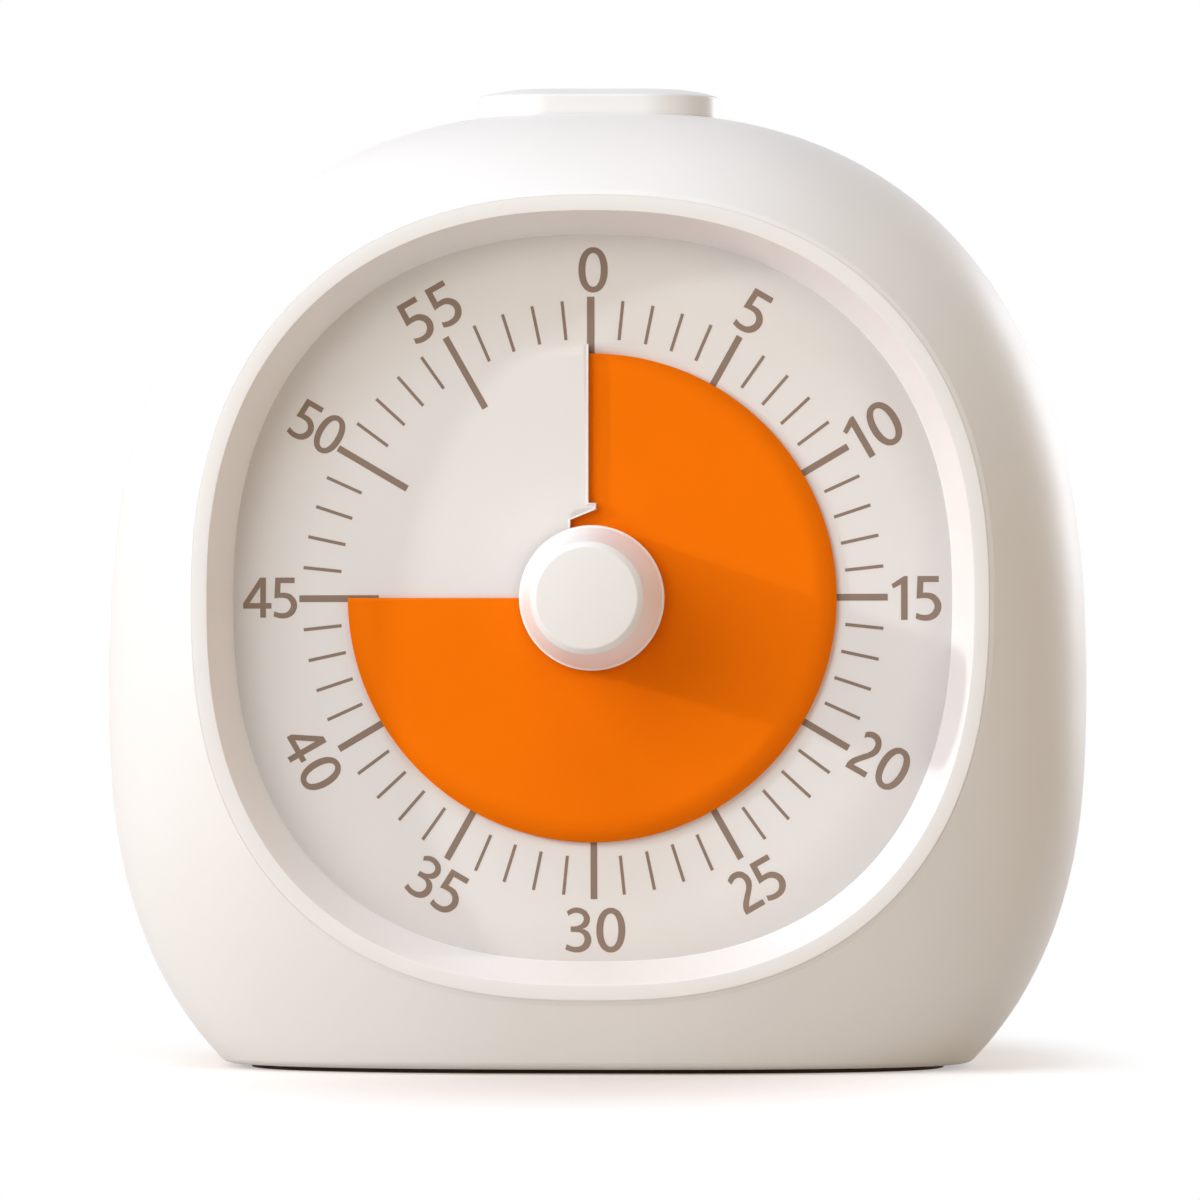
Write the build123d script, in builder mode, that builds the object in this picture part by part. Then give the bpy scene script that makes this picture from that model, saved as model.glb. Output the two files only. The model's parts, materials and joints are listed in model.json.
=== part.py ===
# Visual countdown timer: an orange disc comes out through a slit in the dial and shows the minutes left.
# Millimetres. +Z is up and the dial faces -Y. The origin is under the middle of the base pad,
# on the surface that the timer stands on. "Front" and "back" values are places along Y.

import os
from math import copysign, cos, pi, radians, sin, tan

from build123d import *

os.makedirs("parts", exist_ok=True)

# ---------------------------------------------------------------- body
body_half_width = 48.0
girth_height = 36.3  # height of the widest place
body_rise = 57.5  # from the widest place to the top
body_drop = 47.7  # from the widest place down, before the flat base cuts it off
body_power = 2.5  # 2 is an ellipse, more is squarer
case_depth = 44.0
bulge_power = 2.8  # how fast the sides curve out from the front and rear faces
wall = 2.2
end_wall = 2.2
overcut = 1.0  # how far a cut runs past what it cuts
base_edge_radius = 1.4
outline_points = 32
case_stations = (0, 0.12, 0.3, 0.5, 0.75, 1)  # shares of the depth, from the seam to each end face

# rear face of the body, about the dial's height
rear_half_width = 41.0
rear_rise = 41.0
rear_drop = 39.2
rear_power = 2.4

# pad under the base
pad_drop = 0.45  # how far the pad stands below the body
pad_thickness = 1.0
pad_inset = 2.6
pad_power = 2.8
pad_gap = 0.1

# ---------------------------------------------------------------- dial opening
dial_height = 46.0  # height of the dial's middle
bezel_half_width = 38.35
bezel_half_height = 38.7
bezel_upper_power = 2.31
bezel_lower_power = 2.45
bezel_rim = 1.45  # width of the flat front rim
bezel_slope = 2.1  # how far the inner wall leans in on its way to the dial
bezel_proud = 0.35
bezel_gap = 0.15
bezel_land = 0.5  # flat of the body round the bezel
recess_depth = 6.55  # from the bezel's front to the dial
collar_wall = 1.4

# ---------------------------------------------------------------- dial and disc
dial_thickness = 0.8
dial_gap = 0.2
sheet_thickness = 0.4  # of the dial's slit middle
disc_thickness = 0.3
slit_pitch = 1.1  # how far the middle climbs in one turn
dial_hole_radius = 5.2
slit_radius = 24.75
slit_collar = 0.6
disc_radius = 23.65
disc_tail = 6.0  # degrees of disc past the full turn
minutes_shown = 45.0
full_minutes = 60.0
flap_offset = 0.35  # the flap's edge stands this far left of the middle
tab_reach = 0.4
tab_top = 9.2
tab_bottom = 8.55
tab_root = 7.55
tab_root_offset = 2.1
flap_overrun = 6.0  # degrees of sheet past the slit, trimmed to the flap's edge
trim_angle = 8.0  # how far past the slit the trimming reaches
sheet_gap = 0.05  # between the flap's turn and the sheet's start behind it

# printed minute marks
minor_inner = 25.6
minor_outer = 28.55
minor_width = 0.38
major_outer = 29.15
major_width = 0.74
mark_thickness = 0.05

# ---------------------------------------------------------------- knob, hub and shaft
knob_base_radius = 7.03
knob_front_radius = 5.42
knob_face_radius = 4.86
knob_length = 13.6
knob_chamfer = 0.55
knob_lip = 0.35
knob_lip_radius = 6.83
knob_lift = 1.25  # from the dial to the back of the knob
knob_bore_depth = 9.0
hub_radius = 4.4
hub_margin = 0.1
shaft_radius = 1.5
shaft_flat = 1.15  # from the shaft's middle to its flat
shaft_fit = 0.03
spline_fit = 0.05
bush_wall = 1.1
bush_flange = 0.9
bush_flange_thickness = 0.4
clip_thickness = 0.5
clip_width = 1.5
clip_groove = 0.3
clip_mouth = 1.8  # width of the clip's mouth, in radii of its groove
clutch_radius = 4.4
clutch_thickness = 0.3
clutch_rise = 0.35
clutch_collar_radius = 2.4
clutch_collar_length = 0.7
shaft_end_gap = 0.4
wheel_hole_radius = 2.2
wheel_hole_ring = 7.2
wheel_holes = 5

# ---------------------------------------------------------------- chassis
chassis_thickness = 3.4
pocket_depth = 1.3
pocket_radius = 25.6
ear_radius = 2.5
upper_ear_angle = 45.0
lower_ear_angle = 40.0
chassis_gap = 0.3

# ---------------------------------------------------------------- movement
gear_module = 0.6
tooth_height = 0.85  # above the pitch circle, in modules
tooth_depth = 1.15  # below it
wheel_teeth = 40
idler_teeth = 30
pinion_teeth = 10
tooth_slack = 0.22
tooth_tip = 0.4  # share of the pitch width left at the tip
tooth_root = 1.35
idler_direction = 135.0  # degrees from +X, seen from the front
motor_direction = 0.0
movement_wall = 1.2
movement_clear = 0.8
movement_corner = 3.0
wheel_width = 1.5
layer_gap = 0.3
axle_radius = 0.75
axle_fit = 0.03
axle_seat = 0.7
idler_boss_radius = 1.7
running_gap = 0.15
motor_radius = 5.0
motor_length = 4.6
motor_shaft_radius = 0.6
motor_gap = 0.5
motor_bore_depth = 3.0
motor_shaft_depth = 2.5
motor_ring_wall = 0.9
motor_ring_length = 2.0
motor_fit = 0.1
motor_edge = 0.3
post_radius = 2.0
post_bury = 0.75  # share of a post's radius that stands clear of the wall's inside

# ---------------------------------------------------------------- screws
screw_fit = 0.02
screw_clearance = 0.15
screw_land = 0.3  # least wall between the bezel's opening and a chassis screw's hole
pilot_spare = 0.5  # of a screw's hole past its tip
screw_point = 0.6  # share of the radius left at the tip
head_crown = 0.8  # share of the head's radius left on top
head_side = 0.6  # share of the head's height that is straight
cross_length = 1.1  # of the cross recess, in head radii
cross_width = 0.25
cross_depth = 0.5  # in head heights
case_screw_radius = 1.2
case_screw_head = 2.2
case_screw_head_height = 1.6
case_screw_bite = 8.0
case_post_radius = 3.0
case_head_wall = 0.75  # more post round the screw's head
case_screw_seat = 5.0  # post left between the seam and the screw's head
lower_post = (33.0, 11.0)
upper_post = (27.0, 82.0)
small_screw_radius = 0.9
small_screw_head = 1.7
small_screw_head_height = 1.1
chassis_screw_bite = 3.5
movement_screw_bite = 1.8
pcb_screw_bite = 3.5
chassis_boss_radius = 2.4

# ---------------------------------------------------------------- top button
button_half_length = 11.9
button_half_depth = 7.5
button_proud = 1.4  # from the body's top to the button's rim
button_dome = 0.9
button_shoulder = 2.6
shoulder_stations = (0.25, 0.6, 1.0)  # shares of the shoulder's quarter turn
button_travel = 1.5
button_gap = 0.15
button_wall = 1.5
button_flange = 1.0
button_flange_thickness = 1.2
button_drop = 1.5  # from the top wall's underside at its middle to the flange
stem_radius = 1.6
spring_wire = 0.25
spring_radius = 5.2
spring_turns = 6
switch_side = 6.0
switch_height = 3.6
switch_plunger_radius = 1.7
switch_plunger_height = 0.7
press_gap = 0.05
board_drop = 13.8  # from the body's top to the switch's board
board_thickness = 1.0
board_half_width = 10.0
board_front = -7.0
board_back = 7.0
rib_spacing = 7.5
rib_width = 3.0
rib_height = 3.0
board_screw_inset = 2.0
board_screw_bite = 2.2

# ---------------------------------------------------------------- battery bay
cell_radius = 7.25
cell_length = 49.2
cell_nub_radius = 2.75
cell_nub_length = 1.3
cell_gap = 0.4
bay_height = 24.0
bay_wall = 1.4
bay_front = 3.4
spring_room = 3.6
plate_room = 0.1
contact_thickness = 0.4
contact_side = 10.0
battery_wire = 0.35
battery_coil_radius = 2.6
battery_coil_turns = 3
door_margin = 1.4
door_thickness = 1.8
door_gap = 0.2
door_corner = 2.5
door_notch_width = 12.0
door_notch_depth = 0.8
door_notch_height = 1.6
door_rim = 1.2

# ---------------------------------------------------------------- main board
pcb_half_width = 24.0
pcb_bottom = 54.0
pcb_top = 75.0
pcb_thickness = 1.2
pcb_corner = 1.0
pcb_standoff = 4.8
pcb_post_inset = 3.0
chip_side = 8.0
chip_height = 1.6
crystal_radius = 1.0
crystal_length = 6.0
crystal_gap = 4.0  # from the chip's side to the crystal
buzzer_radius = 6.0
buzzer_x = -13.0
buzzer_gap = 0.2
buzzer_hole_depth = 2.0
sound_hole_radius = 0.8
sound_ring = 3.2
switch_x = 12.0
mute_body_length = 9.0
mute_body_height = 3.8
mute_body_depth = 3.2
mute_tab_length = 3.0
mute_tab_height = 1.6
mute_travel = 3.0
mute_proud = 0.6
mute_gap = 0.15
mute_slot_depth = 1.2

# ---------------------------------------------------------------- places worked out from the above
half_depth = case_depth / 2
front_face = -half_depth
rear_face = half_depth
bezel_front = front_face - bezel_proud
dial_front = bezel_front + recess_depth
dial_back = dial_front + dial_thickness
chassis_back = dial_back + chassis_thickness
pocket_floor = dial_back + pocket_depth
body_top = girth_height + body_rise
base_bottom = pad_drop
room_floor = base_bottom + wall
turn_shown = 360 * minutes_shown / full_minutes

pinion_radius = gear_module * pinion_teeth / 2
wheel_radius = gear_module * wheel_teeth / 2
idler_radius = gear_module * idler_teeth / 2
tip_height = tooth_height * gear_module
root_depth = tooth_depth * gear_module

dial_middle = (0.0, dial_height)


def polar(middle, reach, direction):
    # place at a distance from a middle; 0 degrees is to the right and 90 is up
    x, z = middle
    return (x + reach * cos(radians(direction)), z + reach * sin(radians(direction)))


def bezel_reach(direction, grow):
    # from the dial's middle to the bezel's outline, in one direction
    across, up = abs(cos(radians(direction))), abs(sin(radians(direction)))
    power = bezel_upper_power if direction % 360 < 180 else bezel_lower_power
    width_share = (across / (bezel_half_width + grow)) ** power
    height_share = (up / (bezel_half_height + grow)) ** power
    return (width_share + height_share) ** (-1 / power)


idler_middle = polar(dial_middle, wheel_radius + pinion_radius, idler_direction)
motor_middle = polar(idler_middle, idler_radius + pinion_radius, motor_direction)
wheel_hole_spots = [polar(dial_middle, wheel_hole_ring, 360 * hole / wheel_holes) for hole in range(wheel_holes)]

# the movement's layers, from the front
movement_front_face = chassis_back
wheel_front = movement_front_face + movement_wall + bush_flange_thickness + layer_gap
wheel_back = wheel_front + wheel_width
idler_front = wheel_back + layer_gap
idler_back = idler_front + wheel_width
motor_front = idler_back + motor_gap
motor_back = motor_front + motor_length
movement_back_face = motor_back + movement_wall
movement_seam = motor_front
axle_front = movement_front_face + movement_wall - axle_seat
axle_back = motor_back + axle_seat

wheel_room = tip_height + movement_clear + movement_wall
movement_left = min(idler_middle[0] - idler_radius, -wheel_radius) - wheel_room
movement_right = max(motor_middle[0] + motor_radius, wheel_radius) + wheel_room
movement_bottom = dial_height - wheel_radius - wheel_room
movement_top = idler_middle[1] + idler_radius + wheel_room
post_inset = movement_wall + post_radius * post_bury
movement_posts = [
    (x, z)
    for x in (movement_left + post_inset, movement_right - post_inset)
    for z in (movement_bottom + post_inset, movement_top - post_inset)
]

# the chassis screws stand just outside the bezel's opening
ear_margin = bezel_gap + screw_land + screw_fit + small_screw_radius
ear_spots = [
    polar(dial_middle, bezel_reach(direction, ear_margin), direction)
    for direction in (upper_ear_angle, 180 - upper_ear_angle, 180 + lower_ear_angle, -lower_ear_angle)
]
case_posts = [(side * x, z) for side in (-1, 1) for x, z in (lower_post, upper_post)]
board_screw_spots = [(side * rib_spacing, board_back - board_screw_inset) for side in (-1, 1)]

bay_half_height = cell_radius + cell_gap
bay_half_length = (cell_length + cell_nub_length + spring_room + plate_room) / 2 + contact_thickness
bay_back = rear_face - door_thickness
cell_middle = bay_front + cell_gap + cell_radius
cell_left = -bay_half_length + contact_thickness + spring_room
door_half_length = bay_half_length + door_margin
door_half_height = bay_half_height + door_margin

room_back = rear_face - end_wall
pcb_back = room_back - pcb_standoff
pcb_front = pcb_back - pcb_thickness
pcb_middle = (pcb_bottom + pcb_top) / 2
buzzer_middle = (buzzer_x, pcb_middle)
sound_holes = [buzzer_middle] + [polar(buzzer_middle, sound_ring, 60 * hole) for hole in range(6)]
pcb_posts = [
    (side * (pcb_half_width - pcb_post_inset), z)
    for side in (-1, 1)
    for z in (pcb_bottom + pcb_post_inset, pcb_top - pcb_post_inset)
]

button_rim_height = body_top + button_proud
board_height = body_top - board_drop
button_ceiling = body_top - wall
button_flange_top = button_ceiling - button_drop
button_flange_bottom = button_flange_top - button_flange_thickness
button_room_top = button_rim_height - button_wall
switch_top = board_height + board_thickness + switch_height + switch_plunger_height
stem_end = switch_top + button_travel + press_gap

knob_back = dial_front - knob_lift
knob_face = knob_back - knob_length
shaft_front = knob_back - knob_bore_depth + shaft_end_gap

# the disc lies half a pitch in front of the dial's sheet and moves along the slit's screw
sheet_front = dial_front + slit_pitch / 2
disc_front = dial_front + (sheet_thickness - disc_thickness) / 2
disc_start = turn_shown - 360 - disc_tail
disc_forward = slit_pitch * (360 - turn_shown) / 360
disc_backward = slit_pitch * turn_shown / 360
hub_front = knob_back + disc_forward + hub_margin
hub_back = disc_front + disc_thickness - slit_pitch * disc_start / 360 + hub_margin
rim_thickness = slit_pitch - 2 * sheet_gap

clip_front = motor_back - bush_flange_thickness - layer_gap / 2 - clip_thickness
shaft_back = movement_back_face - shaft_end_gap


def oval_points(half_width, rise, drop, middle, upper_power, lower_power):
    # superellipse with its own reach and squareness above and below its middle
    points = []
    for step in range(outline_points):
        turn = 2 * pi * step / outline_points
        across, up = cos(turn), sin(turn)
        power = upper_power if up >= 0 else lower_power
        reach = rise if up >= 0 else drop
        x = half_width * copysign(abs(across) ** (2 / power), across)
        z = middle + reach * copysign(abs(up) ** (2 / power), up)
        points.append((x, z))
    return points


def bezel_points(grow):
    return oval_points(
        bezel_half_width + grow,
        bezel_half_height + grow,
        bezel_half_height + grow,
        dial_height,
        bezel_upper_power,
        bezel_lower_power,
    )


def case_points(y, inset):
    # outline of the body at a depth: it swells from the end faces to the widest place at the seam
    girth = oval_points(
        body_half_width - inset, body_rise - inset, body_drop - inset, girth_height, body_power, body_power
    )
    if y < 0:
        end = bezel_points(bezel_land - inset)
    else:
        end = oval_points(
            rear_half_width - inset, rear_rise - inset, rear_drop - inset, dial_height, rear_power, rear_power
        )
    swell = 1 - (abs(y) / half_depth) ** bulge_power
    return [(a + (c - a) * swell, b + (d - b) * swell) for (a, b), (c, d) in zip(end, girth)]


def oval_face(points):
    with BuildLine() as outline:
        Spline(points, periodic=True)
    make_face(outline.edges())


def facing(back):
    # sketch plane across Y: +X to the right and +Z up as seen from the front, extruding to the front
    return Plane.XZ.offset(-back)


def case_loft(front, back, inset, floor):
    # the body's shape between two depths, cut flat at the floor
    depths = [front * share for share in reversed(case_stations)]
    depths += [back * share for share in case_stations[1:]]
    sections = []
    for y in depths:
        with BuildSketch(facing(y)) as section:
            oval_face(case_points(y, inset))
        sections.append(section.sketch)
    loft(sections)
    split(bisect_by=Plane.XY.offset(floor), keep=Keep.TOP)


def turned(middle, profile):
    # solid turned about a line along Y, from (radius, y) points
    x, z = middle
    with BuildSketch(Plane.XY.offset(z)) as section:
        with BuildLine():
            Polyline([(x + radius, y) for radius, y in profile], close=True)
        make_face()
    revolve(section.sketch, axis=Axis((x, 0, z), (0, 1, 0)))


def round_bars(spots, radius, front, back, mode=Mode.ADD):
    # round bars along Y, or round holes with Mode.SUBTRACT
    with BuildSketch(facing(back)) as section:
        with Locations(*spots):
            Circle(radius)
    extrude(section.sketch, amount=back - front, mode=mode)


def drilled(spots, radius, front, back):
    round_bars(spots, radius, front, back, Mode.SUBTRACT)


def slab(left, right, bottom, top, front, back, corner=0.0, mode=Mode.ADD):
    # block across Y with rounded corners as seen from the front
    with BuildSketch(facing(back)) as section:
        with Locations(((left + right) / 2, (bottom + top) / 2)):
            if corner > 0:
                RectangleRounded(right - left, top - bottom, corner)
            else:
                Rectangle(right - left, top - bottom)
    extrude(section.sketch, amount=back - front, mode=mode)


def screw(middle, seat, tip, radius, head_radius, head_height):
    # screw along Y: its head stands on the seat, on the side away from its tip
    away = copysign(1, seat - tip)
    top = seat + away * head_height
    turned(
        middle,
        [
            (0, tip),
            (radius * screw_point, tip),
            (radius, tip + away * radius),
            (radius, seat),
            (head_radius, seat),
            (head_radius, seat + away * head_height * head_side),
            (head_radius * head_crown, top),
            (0, top),
        ],
    )
    with BuildSketch(facing(top)) as cross:
        with Locations(middle):
            Rectangle(head_radius * cross_length, head_radius * cross_width)
            Rectangle(head_radius * cross_width, head_radius * cross_length)
    extrude(cross.sketch, amount=away * head_height * cross_depth, mode=Mode.SUBTRACT)


def helicoid(start_angle, sweep_angle, front, section_points):
    # sheet that climbs to the front as it goes clockwise; its section is given as (radius, depth
    # behind "front") points, where "front" is the place of its front surface at the angle 0,
    # clockwise from the top as seen from the front
    lift = slit_pitch * start_angle / 360
    outward = (sin(radians(start_angle)), 0, cos(radians(start_angle)))
    onward = (cos(radians(start_angle)), 0, -sin(radians(start_angle)))
    centre = (0, front - lift, dial_height)
    turn = Helix(
        pitch=slit_pitch,
        height=slit_pitch * sweep_angle / 360,
        radius=section_points[-1][0],
        lefthand=True,
        mode=Mode.PRIVATE,
    )
    path = turn.moved(Plane(origin=centre, x_dir=outward, z_dir=(0, -1, 0)).location)
    with BuildSketch(Plane(origin=centre, x_dir=outward, z_dir=onward)) as section:
        with BuildLine():
            Polyline([(radius, -depth) for radius, depth in section_points], close=True)
        make_face()
    sweep(section.sketch, path=path, is_frenet=True)


def coil(centre, direction, radius, wire, turns, length):
    # spring along a direction; the wire's middle runs from end to end of the length
    turn = Helix(pitch=length / turns, height=length, radius=radius, mode=Mode.PRIVATE)
    path = turn.moved(Plane(origin=centre, z_dir=direction).location)
    with BuildSketch(Plane(origin=path @ 0, z_dir=path % 0)) as section:
        Circle(wire)
    sweep(section.sketch, path=path, is_frenet=True)


def gear(middle, front, back, teeth, phase):
    pitch_radius = gear_module * teeth / 2
    root = pitch_radius - root_depth
    tip = pitch_radius + tip_height
    half_width = pi * gear_module / 4 * (1 - tooth_slack)
    with BuildSketch(facing(back)) as section:
        with Locations(middle):
            Circle(root)
            with PolarLocations(0, teeth, start_angle=phase):
                Polygon(
                    (root - root_depth / 2, -half_width * tooth_root),
                    (pitch_radius, -half_width),
                    (tip, -half_width * tooth_tip),
                    (tip, half_width * tooth_tip),
                    (pitch_radius, half_width),
                    (root - root_depth / 2, half_width * tooth_root),
                    align=None,
                )
    extrude(section.sketch, amount=back - front)


def finish(piece, name):
    piece.part.label = name
    export_step(piece.part, f"parts/{name}.step")
    print(name, len(piece.part.solids()), "solid" if piece.part.is_valid else "INVALID")


# ---------------------------------------------------------------- body shells
with BuildPart() as case_block:
    case_loft(front_face, rear_face, 0, base_bottom)
    base_edges = case_block.faces().sort_by(Axis.Z)[0].edges()
    fillet(base_edges, base_edge_radius)

with BuildPart() as case_room:
    case_loft(front_face + end_wall, room_back, wall, room_floor)

base_half_width = body_half_width * (1 - ((girth_height - base_bottom) / body_drop) ** body_power) ** (
    1 / body_power
)
bezel_low = dial_height - bezel_half_height - bezel_land
girth_low = girth_height - body_drop
base_half_depth = half_depth * (1 - (bezel_low - base_bottom) / (bezel_low - girth_low)) ** (1 / bulge_power)


def pad_outline(grow):
    reach = base_half_depth - pad_inset + grow
    oval_face(oval_points(base_half_width - pad_inset + grow, reach, reach, 0, pad_power, pad_power))


def button_outline(grow):
    # stadium as seen from above
    SlotOverall(2 * (button_half_length + grow), 2 * (button_half_depth + grow))


def shell_openings():
    # what both halves leave open for the button and the pad
    with BuildSketch(Plane.XY.offset(button_flange_top)) as button_hole:
        button_outline(button_gap)
    extrude(button_hole.sketch, amount=body_top, mode=Mode.SUBTRACT)
    with BuildSketch(Plane.XY.offset(pad_thickness)) as pad_seat:
        pad_outline(pad_gap)
    extrude(pad_seat.sketch, amount=-pad_thickness, mode=Mode.SUBTRACT)


with BuildPart() as front_room:
    # the space in the front half: the collar round the bezel and the bosses stand in it
    add(case_room.part)
    split(bisect_by=Plane.XZ, keep=Keep.TOP)
    with BuildSketch(facing(dial_back)):
        oval_face(bezel_points(bezel_gap + collar_wall))
    extrude(amount=dial_back - front_face, mode=Mode.SUBTRACT)
    drilled(ear_spots, chassis_boss_radius, front_face, dial_back)
    drilled(case_posts, case_post_radius, front_face, 0)

with BuildPart() as front_shell:
    add(case_block.part)
    split(bisect_by=Plane.XZ, keep=Keep.TOP)
    add(front_room.part, mode=Mode.SUBTRACT)
    with BuildSketch(facing(dial_back)):
        oval_face(bezel_points(bezel_gap))
    extrude(amount=dial_back - front_face + overcut, mode=Mode.SUBTRACT)
    drilled(ear_spots, small_screw_radius + screw_fit, dial_back - chassis_screw_bite - pilot_spare, dial_back)
    drilled(case_posts, case_screw_radius + screw_fit, -case_screw_bite - pilot_spare, 0)
    shell_openings()
finish(front_shell, "front_shell")

with BuildPart() as rear_room:
    # the space in the rear half: posts, the battery bay and the ribs under the button's switch stand in it
    add(case_room.part)
    split(bisect_by=Plane.XZ, keep=Keep.BOTTOM)
    drilled(case_posts, case_post_radius + case_head_wall, 0, rear_face)
    drilled(pcb_posts, post_radius, pcb_back, rear_face)
    slab(
        -bay_half_length - bay_wall,
        bay_half_length + bay_wall,
        bay_height - bay_half_height - bay_wall,
        bay_height + bay_half_height + bay_wall,
        bay_front - bay_wall,
        rear_face,
        mode=Mode.SUBTRACT,
    )
    for x in (-rib_spacing, rib_spacing):
        slab(
            x - rib_width / 2,
            x + rib_width / 2,
            board_height - rib_height,
            board_height,
            0,
            rear_face,
            mode=Mode.SUBTRACT,
        )

with BuildPart() as rear_shell:
    add(case_block.part)
    split(bisect_by=Plane.XZ, keep=Keep.BOTTOM)
    add(rear_room.part, mode=Mode.SUBTRACT)
    for x in (-rib_spacing, rib_spacing):
        slab(x - rib_width / 2, x + rib_width / 2, board_height - rib_height, board_height, board_front, 0)
    # battery bay and the door's seat
    slab(
        -bay_half_length,
        bay_half_length,
        bay_height - bay_half_height,
        bay_height + bay_half_height,
        bay_front,
        rear_face,
        mode=Mode.SUBTRACT,
    )
    slab(
        -door_half_length - door_gap,
        door_half_length + door_gap,
        bay_height - door_half_height - door_gap,
        bay_height + door_half_height + door_gap,
        bay_back,
        rear_face,
        door_corner + door_gap,
        mode=Mode.SUBTRACT,
    )
    drilled(case_posts, case_screw_radius + screw_clearance, 0, case_screw_seat)
    drilled(case_posts, case_screw_head + screw_clearance, case_screw_seat, rear_face)
    drilled(pcb_posts, small_screw_radius + screw_fit, pcb_back, room_back)
    drilled(sound_holes, sound_hole_radius, room_back, rear_face)
    # slot of the sound switch
    slab(
        switch_x - mute_travel / 2 - mute_tab_length / 2 - mute_gap,
        switch_x + mute_travel / 2 + mute_tab_length / 2 + mute_gap,
        pcb_middle - mute_tab_height / 2 - mute_gap,
        pcb_middle + mute_tab_height / 2 + mute_gap,
        room_back,
        rear_face,
        mode=Mode.SUBTRACT,
    )
    with BuildSketch(Plane.XY.offset(board_height)):
        with Locations(*board_screw_spots):
            Circle(small_screw_radius + screw_fit)
    extrude(amount=-board_screw_bite, mode=Mode.SUBTRACT)
    shell_openings()
finish(rear_shell, "rear_shell")

with BuildPart() as base_pad:
    with BuildSketch():
        pad_outline(0)
    extrude(amount=pad_thickness)
finish(base_pad, "base_pad")

# ---------------------------------------------------------------- bezel
with BuildPart() as bezel_room:
    with BuildSketch(facing(dial_front)):
        oval_face(bezel_points(-bezel_rim - bezel_slope))
    with BuildSketch(facing(bezel_front)):
        oval_face(bezel_points(-bezel_rim))
    loft()

with BuildPart() as bezel_ring:
    with BuildSketch(facing(dial_front)):
        oval_face(bezel_points(0))
    extrude(amount=recess_depth)
    add(bezel_room.part, mode=Mode.SUBTRACT)
finish(bezel_ring, "bezel_ring")

# ---------------------------------------------------------------- dial
rim_outer = slit_radius + slit_collar
ring_inner = slit_radius + slit_collar / 2

with BuildPart() as dial_sheet:
    # slit middle, with a deeper rim that carries it on the flat ring
    helicoid(
        0,
        360 + flap_overrun,
        sheet_front,
        [
            (dial_hole_radius, 0),
            (rim_outer, 0),
            (rim_outer, rim_thickness),
            (slit_radius, rim_thickness),
            (slit_radius, sheet_thickness),
            (dial_hole_radius, sheet_thickness),
        ],
    )
    # the flap's edge and its tab
    with BuildSketch(facing(sheet_front - sheet_gap)):
        with Locations((0, dial_height)):
            Polygon(
                (-flap_offset, rim_outer + overcut),
                (-flap_offset, tab_top),
                (tab_reach, tab_top),
                (tab_reach, tab_bottom),
                (-tab_root_offset, tab_root),
                (-tab_root_offset, 0),
                (0, 0),
                ((rim_outer + overcut) * tan(radians(trim_angle)), rim_outer + overcut),
                align=None,
            )
    extrude(amount=slit_pitch + sheet_thickness, mode=Mode.SUBTRACT)

with BuildPart() as dial:
    with BuildSketch(facing(dial_back)):
        oval_face(bezel_points(-dial_gap))
        with Locations((0, dial_height)):
            Circle(ring_inner, mode=Mode.SUBTRACT)
    extrude(amount=dial_thickness)
    add(dial_sheet.part)
finish(dial, "dial")

with BuildPart() as scale_marks:
    with BuildSketch(facing(dial_front)):
        with Locations((0, dial_height)):
            for minute in range(60):
                major = minute % 5 == 0
                outer = major_outer if major else minor_outer
                width = major_width if major else minor_width
                with PolarLocations((minor_inner + outer) / 2, 1, start_angle=6 * minute):
                    Rectangle(outer - minor_inner, width)
    extrude(amount=mark_thickness)
finish(scale_marks, "scale_marks")

# ---------------------------------------------------------------- disc, hub, knob and shaft
with BuildPart() as time_disc:
    helicoid(
        disc_start,
        turn_shown - disc_start,
        disc_front,
        [(hub_radius, 0), (disc_radius, 0), (disc_radius, disc_thickness), (hub_radius, disc_thickness)],
    )
finish(time_disc, "time_disc")

with BuildPart() as disc_hub:
    round_bars([dial_middle], hub_radius, hub_front, hub_back)
    with BuildSketch(facing(hub_back)):
        with Locations((0, dial_height)):
            Circle(shaft_radius + spline_fit)
            with Locations((shaft_flat + spline_fit + shaft_radius, 0)):
                Rectangle(2 * shaft_radius, 4 * shaft_radius, mode=Mode.SUBTRACT)
    extrude(amount=hub_back - hub_front, mode=Mode.SUBTRACT)
finish(disc_hub, "disc_hub")

with BuildPart() as knob:
    turned(
        dial_middle,
        [
            (0, knob_back),
            (knob_base_radius, knob_back),
            (knob_base_radius, knob_back - knob_lip),
            (knob_lip_radius, knob_back - knob_lip),
            (knob_front_radius, knob_face + knob_chamfer),
            (knob_face_radius, knob_face),
            (0, knob_face),
        ],
    )
    drilled([dial_middle], shaft_radius + shaft_fit, knob_back - knob_bore_depth, knob_back)
finish(knob, "knob")

clutch_back = wheel_back + clutch_rise + clutch_thickness

with BuildPart() as main_shaft:
    turned(
        dial_middle,
        [
            (0, shaft_front),
            (shaft_radius - clip_groove, shaft_front),
            (shaft_radius, shaft_front + clip_groove),
            (shaft_radius, clutch_back),
            (clutch_collar_radius, clutch_back),
            (clutch_collar_radius, clutch_back + clutch_collar_length),
            (shaft_radius, clutch_back + clutch_collar_length),
            (shaft_radius, clip_front - screw_fit),
            (shaft_radius - clip_groove, clip_front - screw_fit),
            (shaft_radius - clip_groove, clip_front + clip_thickness + screw_fit),
            (shaft_radius, clip_front + clip_thickness + screw_fit),
            (shaft_radius, shaft_back),
            (0, shaft_back),
        ],
    )
    # flat that turns the hub and lets it slide
    slab(
        shaft_flat,
        2 * shaft_radius,
        dial_height - shaft_radius,
        dial_height + shaft_radius,
        knob_back,
        hub_back + disc_backward + hub_margin,
        mode=Mode.SUBTRACT,
    )
finish(main_shaft, "main_shaft")

bush_bore = shaft_radius + shaft_fit
bush_radius = bush_bore + bush_wall


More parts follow.
